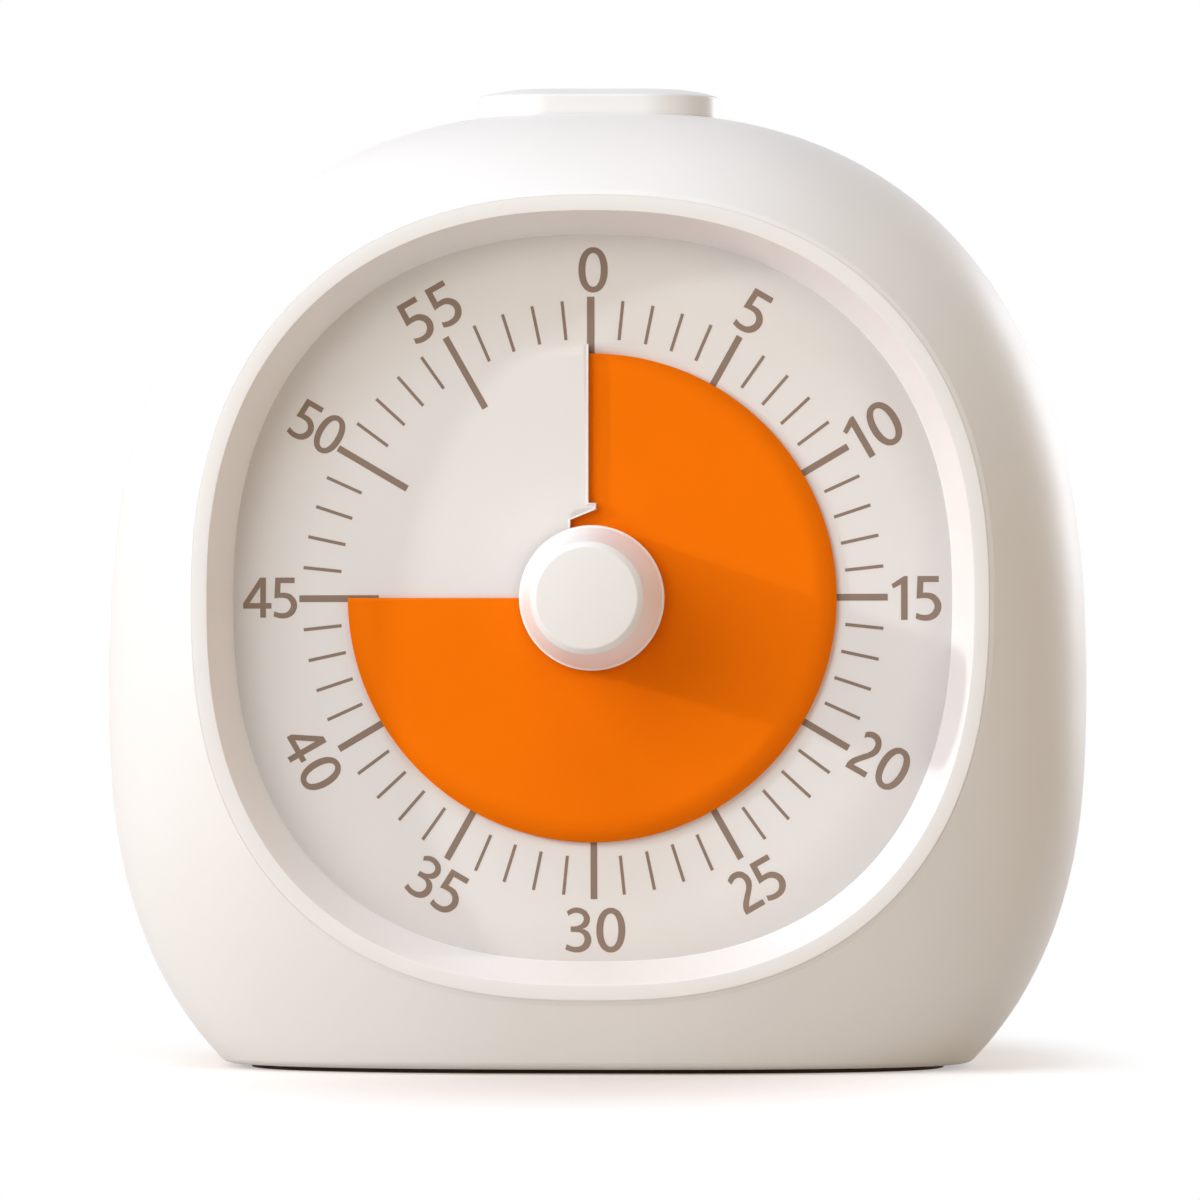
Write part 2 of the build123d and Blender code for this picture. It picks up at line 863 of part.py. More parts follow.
def bush(shoulder, end):
    # bearing whose body runs from the shoulder to the end, with its flange on the shoulder's other side
    flange = shoulder + copysign(bush_flange_thickness, shoulder - end)
    turned(
        dial_middle,
        [
            (bush_bore, end),
            (bush_radius, end),
            (bush_radius, shoulder),
            (bush_radius + bush_flange, shoulder),
            (bush_radius + bush_flange, flange),
            (bush_bore, flange),
        ],
    )


with BuildPart() as front_bush:
    bush(movement_front_face + movement_wall, pocket_floor)
finish(front_bush, "front_bush")

with BuildPart() as rear_bush:
    bush(motor_back, movement_back_face)
finish(rear_bush, "rear_bush")

with BuildPart() as shaft_clip:
    with BuildSketch(facing(clip_front + clip_thickness)):
        with Locations((0, dial_height)):
            Circle(shaft_radius + clip_width)
            Circle(shaft_radius - clip_groove + screw_fit, mode=Mode.SUBTRACT)
            with Locations((0, -shaft_radius)):
                Rectangle(clip_mouth * (shaft_radius - clip_groove), 2 * shaft_radius, mode=Mode.SUBTRACT)
    extrude(amount=clip_thickness)
finish(shaft_clip, "shaft_clip")

with BuildPart() as clutch_spring:
    turned(
        dial_middle,
        [
            (bush_bore, wheel_back + clutch_rise),
            (bush_bore, clutch_back),
            (clutch_collar_radius, clutch_back),
            (clutch_radius, wheel_back + clutch_thickness),
            (clutch_radius, wheel_back),
            (clutch_collar_radius, wheel_back + clutch_rise),
        ],
    )
finish(clutch_spring, "clutch_spring")

# ---------------------------------------------------------------- chassis and movement
with BuildPart() as trim_room:
    case_loft(front_face + end_wall, room_back, wall + chassis_gap, room_floor)

with BuildPart() as chassis:
    with BuildSketch(facing(chassis_back)):
        oval_face(bezel_points(bezel_gap + collar_wall))
        with Locations(*ear_spots):
            Circle(ear_radius)
            Circle(small_screw_radius + screw_clearance, mode=Mode.SUBTRACT)
    extrude(amount=chassis_thickness)
    drilled([dial_middle], pocket_radius, dial_back, pocket_floor)
    drilled([dial_middle], bush_radius + screw_fit, pocket_floor, chassis_back)
    drilled(movement_posts, small_screw_radius + screw_fit, chassis_back - movement_screw_bite, chassis_back)
    add(trim_room.part, mode=Mode.INTERSECT)
finish(chassis, "chassis")


def movement_tray(front, back, room_front, room_end):
    # half of the movement's case: a wall round a room, with posts for the screws
    slab(movement_left, movement_right, movement_bottom, movement_top, front, back, movement_corner)
    slab(
        movement_left + movement_wall,
        movement_right - movement_wall,
        movement_bottom + movement_wall,
        movement_top - movement_wall,
        room_front,
        room_end,
        movement_corner - movement_wall,
        mode=Mode.SUBTRACT,
    )
    round_bars(movement_posts, post_radius, front, back)
    drilled(movement_posts, small_screw_radius + screw_clearance, front, back)


with BuildPart() as movement_front:
    movement_tray(movement_front_face, movement_seam, movement_front_face + movement_wall, movement_seam)
    round_bars([idler_middle], idler_boss_radius, movement_front_face, wheel_front - running_gap)
    drilled([dial_middle], bush_radius + screw_fit, movement_front_face, movement_seam)
    drilled([idler_middle], axle_radius + screw_fit, axle_front, movement_seam)
finish(movement_front, "movement_front")

with BuildPart() as movement_rear:
    movement_tray(movement_seam, movement_back_face, movement_seam, motor_back)
    round_bars([idler_middle], idler_boss_radius, idler_back + running_gap, motor_back)
    # ring that holds the motor
    motor_ring_radius = motor_radius + motor_fit + motor_ring_wall
    round_bars([motor_middle], motor_ring_radius, motor_back - motor_ring_length, motor_back)
    drilled([motor_middle], motor_radius + motor_fit, motor_back - motor_ring_length, motor_back)
    drilled([dial_middle], bush_radius + screw_fit, movement_seam, movement_back_face)
    drilled([idler_middle], axle_radius + screw_fit, idler_back, axle_back)
finish(movement_rear, "movement_rear")

with BuildPart() as time_wheel:
    gear(dial_middle, wheel_front, wheel_back, wheel_teeth, idler_direction)
    drilled([dial_middle], bush_bore, wheel_front, wheel_back)
    drilled(wheel_hole_spots, wheel_hole_radius, wheel_front, wheel_back)
finish(time_wheel, "time_wheel")

with BuildPart() as idler_wheel:
    gear(idler_middle, wheel_front, idler_front, pinion_teeth, idler_direction + 180 + 180 / pinion_teeth)
    gear(idler_middle, idler_front, idler_back, idler_teeth, motor_direction)
    drilled([idler_middle], axle_radius + axle_fit, wheel_front, idler_back)
finish(idler_wheel, "idler_wheel")

with BuildPart() as idler_axle:
    round_bars([idler_middle], axle_radius, axle_front, axle_back)
finish(idler_axle, "idler_axle")

with BuildPart() as motor:
    round_bars([motor_middle], motor_radius, motor_front, motor_back)
    chamfer(motor.edges().filter_by(GeomType.CIRCLE), motor_edge)
    drilled([motor_middle], motor_shaft_radius + axle_fit, motor_front, motor_front + motor_bore_depth)
finish(motor, "motor")

with BuildPart() as motor_pinion:
    gear(motor_middle, idler_front, idler_back, pinion_teeth, motor_direction + 180 + 180 / pinion_teeth)
    round_bars([motor_middle], motor_shaft_radius, idler_front, motor_front + motor_shaft_depth)
finish(motor_pinion, "motor_pinion")

# ---------------------------------------------------------------- top button and its switch
with BuildPart() as top_button:
    with BuildSketch(Plane.XY.offset(button_flange_bottom)):
        button_outline(0)
    extrude(amount=button_rim_height - button_flange_bottom)
    with BuildSketch(Plane.XY.offset(button_rim_height)):
        button_outline(0)
    for share in shoulder_stations:
        # the shoulder rounds over from the rim to the flat top
        with BuildSketch(Plane.XY.offset(button_rim_height + button_dome * sin(share * pi / 2))):
            button_outline(-button_shoulder * (1 - cos(share * pi / 2)))
    loft()
    with BuildSketch(Plane.XY.offset(button_flange_bottom)):
        button_outline(button_flange)
    extrude(amount=button_flange_thickness)
    with BuildSketch(Plane.XY.offset(button_flange_bottom)):
        button_outline(-button_wall)
    extrude(amount=button_room_top - button_flange_bottom, mode=Mode.SUBTRACT)
    with BuildSketch(Plane.XY.offset(stem_end)):
        Circle(stem_radius)
    extrude(amount=button_room_top - stem_end)
finish(top_button, "top_button")

with BuildPart() as button_spring:
    coil(
        (0, 0, board_height + board_thickness + spring_wire),
        (0, 0, 1),
        spring_radius,
        spring_wire,
        spring_turns,
        button_room_top - board_height - board_thickness - 2 * spring_wire - press_gap,
    )
finish(button_spring, "button_spring")

with BuildPart() as switch_board:
    with BuildSketch(Plane.XY.offset(board_height)):
        with Locations((0, (board_front + board_back) / 2)):
            Rectangle(2 * board_half_width, board_back - board_front)
        with Locations(*board_screw_spots):
            Circle(small_screw_radius + screw_clearance, mode=Mode.SUBTRACT)
    extrude(amount=board_thickness)
finish(switch_board, "switch_board")

with BuildPart() as button_switch:
    with BuildSketch(Plane.XY.offset(board_height + board_thickness)):
        Rectangle(switch_side, switch_side)
    extrude(amount=switch_height)
    chamfer(button_switch.edges().filter_by(Axis.Z), switch_plunger_height / 2)
    with BuildSketch(Plane.XY.offset(board_height + board_thickness + switch_height)):
        Circle(switch_plunger_radius)
    extrude(amount=switch_plunger_height)
finish(button_switch, "button_switch")

with BuildPart() as board_screws:
    with BuildSketch(Plane.XY.offset(board_height - board_screw_bite)):
        with Locations(*board_screw_spots):
            Circle(small_screw_radius)
    extrude(amount=board_screw_bite + board_thickness)
    with BuildSketch(Plane.XY.offset(board_height + board_thickness)):
        with Locations(*board_screw_spots):
            Circle(small_screw_head)
    extrude(amount=small_screw_head_height)
    chamfer(board_screws.faces().group_by(Axis.Z)[-1].edges(), small_screw_head_height / 3)
finish(board_screws, "board_screws")

# ---------------------------------------------------------------- battery and its bay
with BuildPart() as battery_cell:
    for start, length, radius in (
        (cell_left, cell_length, cell_radius),
        (cell_left + cell_length, cell_nub_length, cell_nub_radius),
    ):
        with BuildSketch(Plane.YZ.offset(start)):
            with Locations((cell_middle, bay_height)):
                Circle(radius)
        extrude(amount=length)
    fillet(battery_cell.edges().filter_by(GeomType.CIRCLE).group_by(Axis.X)[0], cell_gap)
finish(battery_cell, "battery_cell")

with BuildPart() as battery_spring:
    coil(
        (-bay_half_length + contact_thickness + battery_wire, cell_middle, bay_height),
        (1, 0, 0),
        battery_coil_radius,
        battery_wire,
        battery_coil_turns,
        spring_room - 2 * battery_wire - press_gap,
    )
finish(battery_spring, "battery_spring")

with BuildPart() as battery_contacts:
    for left in (-bay_half_length, bay_half_length - contact_thickness):
        slab(
            left,
            left + contact_thickness,
            bay_height - contact_side / 2,
            bay_height + contact_side / 2,
            cell_middle - contact_side / 2,
            cell_middle + contact_side / 2,
        )
finish(battery_contacts, "battery_contacts")

with BuildPart() as battery_door:
    slab(
        -door_half_length,
        door_half_length,
        bay_height - door_half_height,
        bay_height + door_half_height,
        bay_back,
        rear_face,
        door_corner,
    )
    # rim that drops into the bay
    slab(
        -bay_half_length + door_gap,
        bay_half_length - door_gap,
        bay_height - bay_half_height + door_gap,
        bay_height + bay_half_height - door_gap,
        bay_back - door_rim,
        bay_back,
    )
    slab(
        -bay_half_length + door_gap + bay_wall,
        bay_half_length - door_gap - bay_wall,
        bay_height - bay_half_height + door_gap + bay_wall,
        bay_height + bay_half_height - door_gap - bay_wall,
        bay_back - door_rim,
        bay_back,
        mode=Mode.SUBTRACT,
    )
    # nail notch
    slab(
        -door_notch_width / 2,
        door_notch_width / 2,
        bay_height + door_half_height - door_notch_height,
        bay_height + door_half_height,
        rear_face - door_notch_depth,
        rear_face,
        mode=Mode.SUBTRACT,
    )
finish(battery_door, "battery_door")

# ---------------------------------------------------------------- main board
with BuildPart() as circuit_board:
    slab(-pcb_half_width, pcb_half_width, pcb_bottom, pcb_top, pcb_front, pcb_back, pcb_corner)
    drilled(pcb_posts, small_screw_radius + screw_clearance, pcb_front, pcb_back)
finish(circuit_board, "circuit_board")

with BuildPart() as chip:
    slab(
        -chip_side / 2,
        chip_side / 2,
        pcb_middle - chip_side / 2,
        pcb_middle + chip_side / 2,
        pcb_front - chip_height,
        pcb_front,
    )
finish(chip, "chip")

with BuildPart() as crystal:
    with BuildSketch(Plane.YZ.offset(chip_side / 2 + crystal_gap)):
        with Locations((pcb_front - crystal_radius, pcb_middle)):
            Circle(crystal_radius)
    extrude(amount=crystal_length)
finish(crystal, "crystal")

with BuildPart() as buzzer:
    round_bars([buzzer_middle], buzzer_radius, pcb_back, room_back - buzzer_gap)
    drilled([buzzer_middle], sound_hole_radius, room_back - buzzer_hole_depth, room_back)
finish(buzzer, "buzzer")

mute_back = pcb_back + mute_body_depth

with BuildPart() as mute_switch:
    slab(
        switch_x - mute_body_length / 2,
        switch_x + mute_body_length / 2,
        pcb_middle - mute_body_height / 2,
        pcb_middle + mute_body_height / 2,
        pcb_back,
        mute_back,
    )
    slab(
        switch_x - (mute_travel + mute_tab_length) / 2 - mute_gap,
        switch_x + (mute_travel + mute_tab_length) / 2 + mute_gap,
        pcb_middle - mute_tab_height / 2 - mute_gap,
        pcb_middle + mute_tab_height / 2 + mute_gap,
        mute_back - mute_slot_depth,
        mute_back,
        mode=Mode.SUBTRACT,
    )
finish(mute_switch, "mute_switch")

with BuildPart() as mute_slider:
    slab(
        switch_x - (mute_travel + mute_tab_length) / 2,
        switch_x - (mute_travel - mute_tab_length) / 2,
        pcb_middle - mute_tab_height / 2,
        pcb_middle + mute_tab_height / 2,
        mute_back - mute_slot_depth + mute_gap,
        rear_face + mute_proud,
    )
    chamfer(mute_slider.faces().sort_by(Axis.Y)[-1].edges(), mute_gap)
finish(mute_slider, "mute_slider")

# ---------------------------------------------------------------- screws
with BuildPart() as case_screws:
    for spot in case_posts:
        screw(
            spot,
            case_screw_seat,
            -case_screw_bite,
            case_screw_radius,
            case_screw_head,
            case_screw_head_height,
        )
finish(case_screws, "case_screws")


def small_screws(spots, seat, tip):
    for spot in spots:
        screw(spot, seat, tip, small_screw_radius, small_screw_head, small_screw_head_height)


with BuildPart() as chassis_screws:
    small_screws(ear_spots, chassis_back, dial_back - chassis_screw_bite)
finish(chassis_screws, "chassis_screws")

with BuildPart() as movement_screws:
    small_screws(movement_posts, movement_back_face, chassis_back - movement_screw_bite)
finish(movement_screws, "movement_screws")

with BuildPart() as pcb_screws:
    small_screws(pcb_posts, pcb_front, pcb_back + pcb_screw_bite)
finish(pcb_screws, "pcb_screws")
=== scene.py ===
import json
import math

import bmesh
import bpy
from mathutils import Matrix, Vector


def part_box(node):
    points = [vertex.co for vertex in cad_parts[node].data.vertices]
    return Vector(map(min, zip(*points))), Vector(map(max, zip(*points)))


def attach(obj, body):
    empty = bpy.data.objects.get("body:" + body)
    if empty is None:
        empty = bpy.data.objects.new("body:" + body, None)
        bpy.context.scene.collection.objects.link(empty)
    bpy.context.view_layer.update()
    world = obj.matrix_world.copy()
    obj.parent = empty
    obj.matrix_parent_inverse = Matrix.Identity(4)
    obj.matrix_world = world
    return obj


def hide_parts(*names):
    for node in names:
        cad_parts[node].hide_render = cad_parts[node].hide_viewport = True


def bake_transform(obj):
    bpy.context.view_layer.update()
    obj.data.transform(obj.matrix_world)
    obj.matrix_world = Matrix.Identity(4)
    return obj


mm = 0.001
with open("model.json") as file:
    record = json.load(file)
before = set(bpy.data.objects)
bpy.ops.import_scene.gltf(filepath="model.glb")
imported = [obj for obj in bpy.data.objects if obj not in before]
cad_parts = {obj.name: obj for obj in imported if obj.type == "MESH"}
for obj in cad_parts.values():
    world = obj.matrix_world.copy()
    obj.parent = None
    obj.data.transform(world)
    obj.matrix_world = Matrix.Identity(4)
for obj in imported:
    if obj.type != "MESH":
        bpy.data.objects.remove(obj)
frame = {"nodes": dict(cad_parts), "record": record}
bpy.context.view_layer.update()
print("frame loaded:", len(frame["nodes"]), "nodes")

# the main places all the pieces share, read from the CAD parts
dialHeight = sum(corner.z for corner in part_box("knob")) / 2
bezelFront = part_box("bezel_ring")[0].y
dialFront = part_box("bezel_ring")[1].y
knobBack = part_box("knob")[1].y


def newMaterial(name):
    material = bpy.data.materials.new(name)
    material.use_nodes = True
    return material, material.node_tree.nodes, material.node_tree.links


def addNode(nodes, kind, inputs=None, **settings):
    node = nodes.new(kind)
    for key, value in settings.items():
        setattr(node, key, value)
    for key, value in (inputs or {}).items():
        node.inputs[key].default_value = value
    return node


def objectNoise(nodes, links, scale, detail=2.0, stretch=(1, 1, 1)):
    # noise in object space; stretch squeezes it along an axis
    place = addNode(nodes, "ShaderNodeTexCoord")
    turn = addNode(nodes, "ShaderNodeMapping")
    turn.inputs["Scale"].default_value = stretch
    noise = addNode(nodes, "ShaderNodeTexNoise", {"Scale": scale, "Detail": detail, "Roughness": 0.55})
    links.new(place.outputs["Object"], turn.inputs["Vector"])
    links.new(turn.outputs["Vector"], noise.inputs["Vector"])
    return noise


def shades(nodes, links, source, stops):
    # colour from a 0..1 value, by two (position, colour) stops
    ramp = addNode(nodes, "ShaderNodeValToRGB")
    for element, (position, colour) in zip(ramp.color_ramp.elements, stops):
        element.position = position
        element.color = (*colour, 1)
    links.new(source, ramp.inputs["Fac"])
    return ramp.outputs["Color"]


def scaled(colour, factor):
    return tuple(min(1.0, channel * factor) for channel in colour)


def roughen(nodes, links, shader, value, roughness, smoother, rougher):
    # lets the sheen wander round its middle
    wander = addNode(
        nodes, "ShaderNodeMapRange", {"To Min": roughness - smoother, "To Max": roughness + rougher}
    )
    links.new(value, wander.inputs["Value"])
    links.new(wander.outputs["Result"], shader.inputs["Roughness"])


def emboss(nodes, links, shader, height, strength, depth):
    bump = addNode(nodes, "ShaderNodeBump", {"Strength": strength, "Distance": depth})
    links.new(height, bump.inputs["Height"])
    links.new(bump.outputs["Normal"], shader.inputs["Normal"])


plasticLook = {
    "driftScale": 45,
    "driftDetail": 3,
    "driftSpan": (0.3, 0.7),
    "patchScale": 160,
    "patchDetail": 4,
    "smoother": 0.05,
    "rougher": 0.06,
    "grainDetail": 3,
    "grainStrength": 0.35,
}


def moulded(name, colour, roughness, grain, depth, mottle=0.03, gloss=0.5):
    # plastic with a slow colour drift, an uneven sheen and the fine grain of its tool
    look = plasticLook
    material, nodes, links = newMaterial(name)
    shader = nodes["Principled BSDF"]
    drift = objectNoise(nodes, links, look["driftScale"], look["driftDetail"])
    ends = scaled(colour, 1 - mottle), scaled(colour, 1 + mottle)
    tint = shades(nodes, links, drift.outputs["Fac"], list(zip(look["driftSpan"], ends)))
    links.new(tint, shader.inputs["Base Color"])
    patch = objectNoise(nodes, links, look["patchScale"], look["patchDetail"])
    roughen(nodes, links, shader, patch.outputs["Fac"], roughness, look["smoother"], look["rougher"])
    fine = objectNoise(nodes, links, grain, look["grainDetail"])
    emboss(nodes, links, shader, fine.outputs["Fac"], look["grainStrength"], depth * mm)
    shader.inputs["Specular IOR Level"].default_value = gloss
    return material


metalLook = {
    "lineDetail": 4,
    "lineSpan": (0.25, 0.75),
    "dark": 0.82,
    "light": 1.1,
    "smoother": 0.08,
    "rougher": 0.12,
    "lineStrength": 0.3,
}


def metal(name, colour, roughness, grain, depth=0.003, stretch=(1, 1, 1)):
    # drawn, turned or pressed metal with fine lines along its least squeezed axis
    look = metalLook
    material, nodes, links = newMaterial(name)
    shader = nodes["Principled BSDF"]
    shader.inputs["Metallic"].default_value = 1.0
    lines = objectNoise(nodes, links, grain, look["lineDetail"], stretch)
    ends = scaled(colour, look["dark"]), scaled(colour, look["light"])
    tint = shades(nodes, links, lines.outputs["Fac"], list(zip(look["lineSpan"], ends)))
    links.new(tint, shader.inputs["Base Color"])
    roughen(nodes, links, shader, lines.outputs["Fac"], roughness, look["smoother"], look["rougher"])
    emboss(nodes, links, shader, lines.outputs["Fac"], look["lineStrength"], depth * mm)
    return material


boardLook = {
    "trackScale": 260.0,
    "trackGap": 0.07,
    "gapBlur": 0.2,
    "lacquer": (0.02, 0.17, 0.06, 1),
    "lacquerDark": (0.018, 0.15, 0.055, 1),
    "track": (0.06, 0.30, 0.11, 1),
    "trackStrength": 0.4,
    "trackDepth": 0.03 * mm,
    "roughness": 0.3,
    "coat": 0.4,
}


def boardFinish():
    # green lacquer over copper tracks that run across the board
    material, nodes, links = newMaterial("boardLacquer")
    shader = nodes["Principled BSDF"]
    place = addNode(nodes, "ShaderNodeTexCoord")
    tracks = addNode(nodes, "ShaderNodeTexBrick", {"Scale": boardLook["trackScale"]})
    tracks.inputs["Mortar Size"].default_value = boardLook["trackGap"]
    tracks.inputs["Mortar Smooth"].default_value = boardLook["gapBlur"]
    tracks.inputs["Color1"].default_value = boardLook["lacquer"]
    tracks.inputs["Color2"].default_value = boardLook["lacquerDark"]
    tracks.inputs["Mortar"].default_value = boardLook["track"]
    flat = addNode(nodes, "ShaderNodeMapping")
    flat.inputs["Rotation"].default_value = (math.pi / 2, 0, 0)
    links.new(place.outputs["Object"], flat.inputs["Vector"])
    links.new(flat.outputs["Vector"], tracks.inputs["Vector"])
    links.new(tracks.outputs["Color"], shader.inputs["Base Color"])
    emboss(nodes, links, shader, tracks.outputs["Fac"], boardLook["trackStrength"], boardLook["trackDepth"])
    shader.inputs["Roughness"].default_value = boardLook["roughness"]
    shader.inputs["Coat Weight"].default_value = boardLook["coat"]
    return material


cellJacket = {
    "bandStart": 10 * mm,
    "bandEnd": 10.3 * mm,
    "dark": (0.035, 0.04, 0.05),
    "light": (0.42, 0.43, 0.44),
    "scuffScale": 400,
    "scuffDetail": 5,
    "scuffStretch": (0.15, 1, 1),
    "smoothest": 0.2,
    "roughest": 0.36,
    "metallic": 0.55,
}


def jacketFinish():
    # plain two-tone printed sleeve of the cell
    material, nodes, links = newMaterial("cellSleeve")
    shader = nodes["Principled BSDF"]
    place = addNode(nodes, "ShaderNodeTexCoord")
    split = addNode(nodes, "ShaderNodeSeparateXYZ")
    band = addNode(nodes, "ShaderNodeMapRange")
    band.inputs["From Min"].default_value = cellJacket["bandStart"]
    band.inputs["From Max"].default_value = cellJacket["bandEnd"]
    links.new(place.outputs["Object"], split.inputs["Vector"])
    links.new(split.outputs["X"], band.inputs["Value"])
    ends = [(0, cellJacket["dark"]), (1, cellJacket["light"])]
    links.new(shades(nodes, links, band.outputs["Result"], ends), shader.inputs["Base Color"])
    scuff = objectNoise(
        nodes, links, cellJacket["scuffScale"], cellJacket["scuffDetail"], cellJacket["scuffStretch"]
    )
    sheen = addNode(nodes, "ShaderNodeMapRange")
    sheen.inputs["To Min"].default_value = cellJacket["smoothest"]
    sheen.inputs["To Max"].default_value = cellJacket["roughest"]
    links.new(scuff.outputs["Fac"], sheen.inputs["Value"])
    links.new(sheen.outputs["Result"], shader.inputs["Roughness"])
    shader.inputs["Metallic"].default_value = cellJacket["metallic"]
    return material


# slot: name, colour, roughness, grain scale, grain depth in mm, colour drift, gloss
plastics = {
    "shell_white": ("shellPlastic", (0.86, 0.845, 0.83), 0.46, 2600, 0.010, 0.012),
    "button_white": ("buttonPlastic", (0.83, 0.825, 0.82), 0.36, 3600, 0.005, 0.008),
    "pad_brown": ("padRubber", (0.10, 0.062, 0.036), 0.75, 1800, 0.03, 0.08, 0.3),
    "dial_white": ("dialFilm", (0.80, 0.782, 0.768), 0.55, 5200, 0.004, 0.01, 0.4),
    "print_grey": ("printInk", (0.268, 0.193, 0.148), 0.6, 5200, 0.003, 0.05, 0.3),
    "disc_orange": ("discFilm", (0.95, 0.185, 0.0), 0.6, 4200, 0.006, 0.02, 0.05),
    "inner_white": ("acetalWhite", (0.70, 0.69, 0.66), 0.5, 2400, 0.01),
    "movement_grey": ("movementCase", (0.10, 0.105, 0.115), 0.5, 2600, 0.012),
    "gear_white": ("gearAcetal", (0.74, 0.72, 0.62), 0.42, 2600, 0.006),
    "chip_black": ("chipPackage", (0.018, 0.018, 0.019), 0.55, 5000, 0.006),
    "buzzer_black": ("buzzerCase", (0.022, 0.022, 0.024), 0.45, 2600, 0.01),
    "switch_black": ("switchBody", (0.025, 0.025, 0.027), 0.4, 3000, 0.008),
}
# slot: name, colour, roughness, line scale, line depth in mm, stretch of the lines
metals = {
    "steel": ("brightSteel", (0.60, 0.60, 0.61), 0.28, 1500),
    "bronze": ("sinteredBronze", (0.55, 0.36, 0.17), 0.42, 3800, 0.008),
    "motor_can": ("motorCan", (0.52, 0.52, 0.53), 0.34, 700, 0.003, (1, 0.1, 1)),
}
finishes = {slot: moulded(*look) for slot, look in plastics.items()}
finishes |= {slot: metal(*look) for slot, look in metals.items()}
finishes |= {"board_green": boardFinish(), "cell_jacket": jacketFinish()}
# every carried-over CAD node takes its slot's finish
for part in frame["record"]["subparts"]:
    mesh = frame["nodes"][part["node"]].data
    mesh.materials.clear()
    mesh.materials.append(finishes[part["material_slot"]])
print("finishes made:", len(finishes))


weld = 0.0005 * mm  # points closer than this are one


def keepPiece(bm, name, body, slot, replaced=(), sharpAngle=32):
    # makes the mesh a smooth-shaded piece that rides on its body; without a body it is left unattached
    mesh = bpy.data.meshes.new(name)
    bm.to_mesh(mesh)
    bm.free()
    mesh.polygons.foreach_set("use_smooth", [True] * len(mesh.polygons))
    mesh.set_sharp_from_angle(angle=math.radians(sharpAngle))
    mesh.materials.append(finishes[slot])
    piece = bpy.data.objects.new(name, mesh)
    bpy.context.scene.collection.objects.link(piece)
    if body:
        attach(piece, body)
    if replaced:
        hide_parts(*replaced)
    print("piece made:", name, len(mesh.polygons), "faces")
    return piece


def addWall(piece, name, thickness):
    # gives a sheet its thickness, behind its front
    wall = piece.modifiers.new(name, "SOLIDIFY")
    wall.thickness = thickness
    wall.offset = -1


def faceFront(bm):
    for face in bm.faces:
        face.normal_update()
        if face.normal.y > 0:
            face.normal_flip()


def joinInto(bm, part):
    # adds one mesh to another and frees it
    sheet = bpy.data.meshes.new("joinedPart")
    part.to_mesh(sheet)
    part.free()
    bm.from_mesh(sheet)
    bpy.data.meshes.remove(sheet)


def ovalPoint(turn, halfWidth, rise, drop, upperPower, lowerPower):
    # point of a superellipse with its own reach and squareness above and below its middle
    across, up = math.cos(turn), math.sin(turn)
    power, reach = (upperPower, rise) if up >= 0 else (lowerPower, drop)
    return (
        halfWidth * math.copysign(abs(across) ** (2 / power), across),
        reach * math.copysign(abs(up) ** (2 / power), up),
    )


def stackRings(bm, segments, places):
    # a ring for each place, grown one from the other; gives back the first and the last
    verts = bmesh.ops.create_circle(bm, segments=segments, radius=1)["verts"]
    turns = {vert: 2 * math.pi * step / segments for step, vert in enumerate(verts)}
    for vert, turn in turns.items():
        vert.co = places[0](turn)
    first = loop = list({edge for vert in verts for edge in vert.link_edges})
    for placeOf in places[1:]:
        grown = bmesh.ops.extrude_edge_only(bm, edges=loop)["geom"]
        fresh = {}
        for vert in grown:
            if isinstance(vert, bmesh.types.BMVert):
                others = [edge.other_vert(vert) for edge in vert.link_edges]
                fresh[vert] = next(turns[other] for other in others if other in turns)
                vert.co = placeOf(fresh[vert])
        edges = [item for item in grown if isinstance(item, bmesh.types.BMEdge)]
        loop = [edge for edge in edges if all(vert in fresh for vert in edge.verts)]
        turns = fresh
    return first, loop


def quarterTurn(centre, radius, start, end, steps=4):
    # points of an arc in a profile, from a start to an end angle in degrees
    across, along = centre
    turns = [math.radians(start + (end - start) * step / steps) for step in range(steps + 1)]
    return [(across + radius * math.cos(turn), along + radius * math.sin(turn)) for turn in turns]


# the white ring round the dial
bezel = {
    "halfWidth": 38.35 * mm,
    "halfHeight": 38.7 * mm,
    "upperPower": 2.31,
    "lowerPower": 2.45,
    "rim": 1.45 * mm,
    "slope": 2.1 * mm,
    "outerEdge": 0.05 * mm,
    "innerEdge": 0.08 * mm,
    "innerShare": 0.6,  # where the inner edge's middle lies, as a share of its radius
    "fit": 0.09 * mm,  # how much of the gap round it the ring takes up
    "seamWidth": 0.06 * mm,
    "seamDepth": 0.12 * mm,
    "skirtReach": 0.5 * mm,  # the low flange that covers the gap round the ring
    "skirtDrop": 0.06 * mm,
    "skirtBack": 0.37 * mm,
    "skirtEdge": 0.03 * mm,
    "segments": 256,
    "sharpAngle": 25,
}


def bezelPlace(grow, y):
    # the ring's outline, grown outwards, at a depth
    def placeOf(turn):
        wide, high = bezel["halfWidth"] + grow, bezel["halfHeight"] + grow
        x, z = ovalPoint(turn, wide, high, high, bezel["upperPower"], bezel["lowerPower"])
        return Vector((x, y, dialHeight + z))

    return placeOf


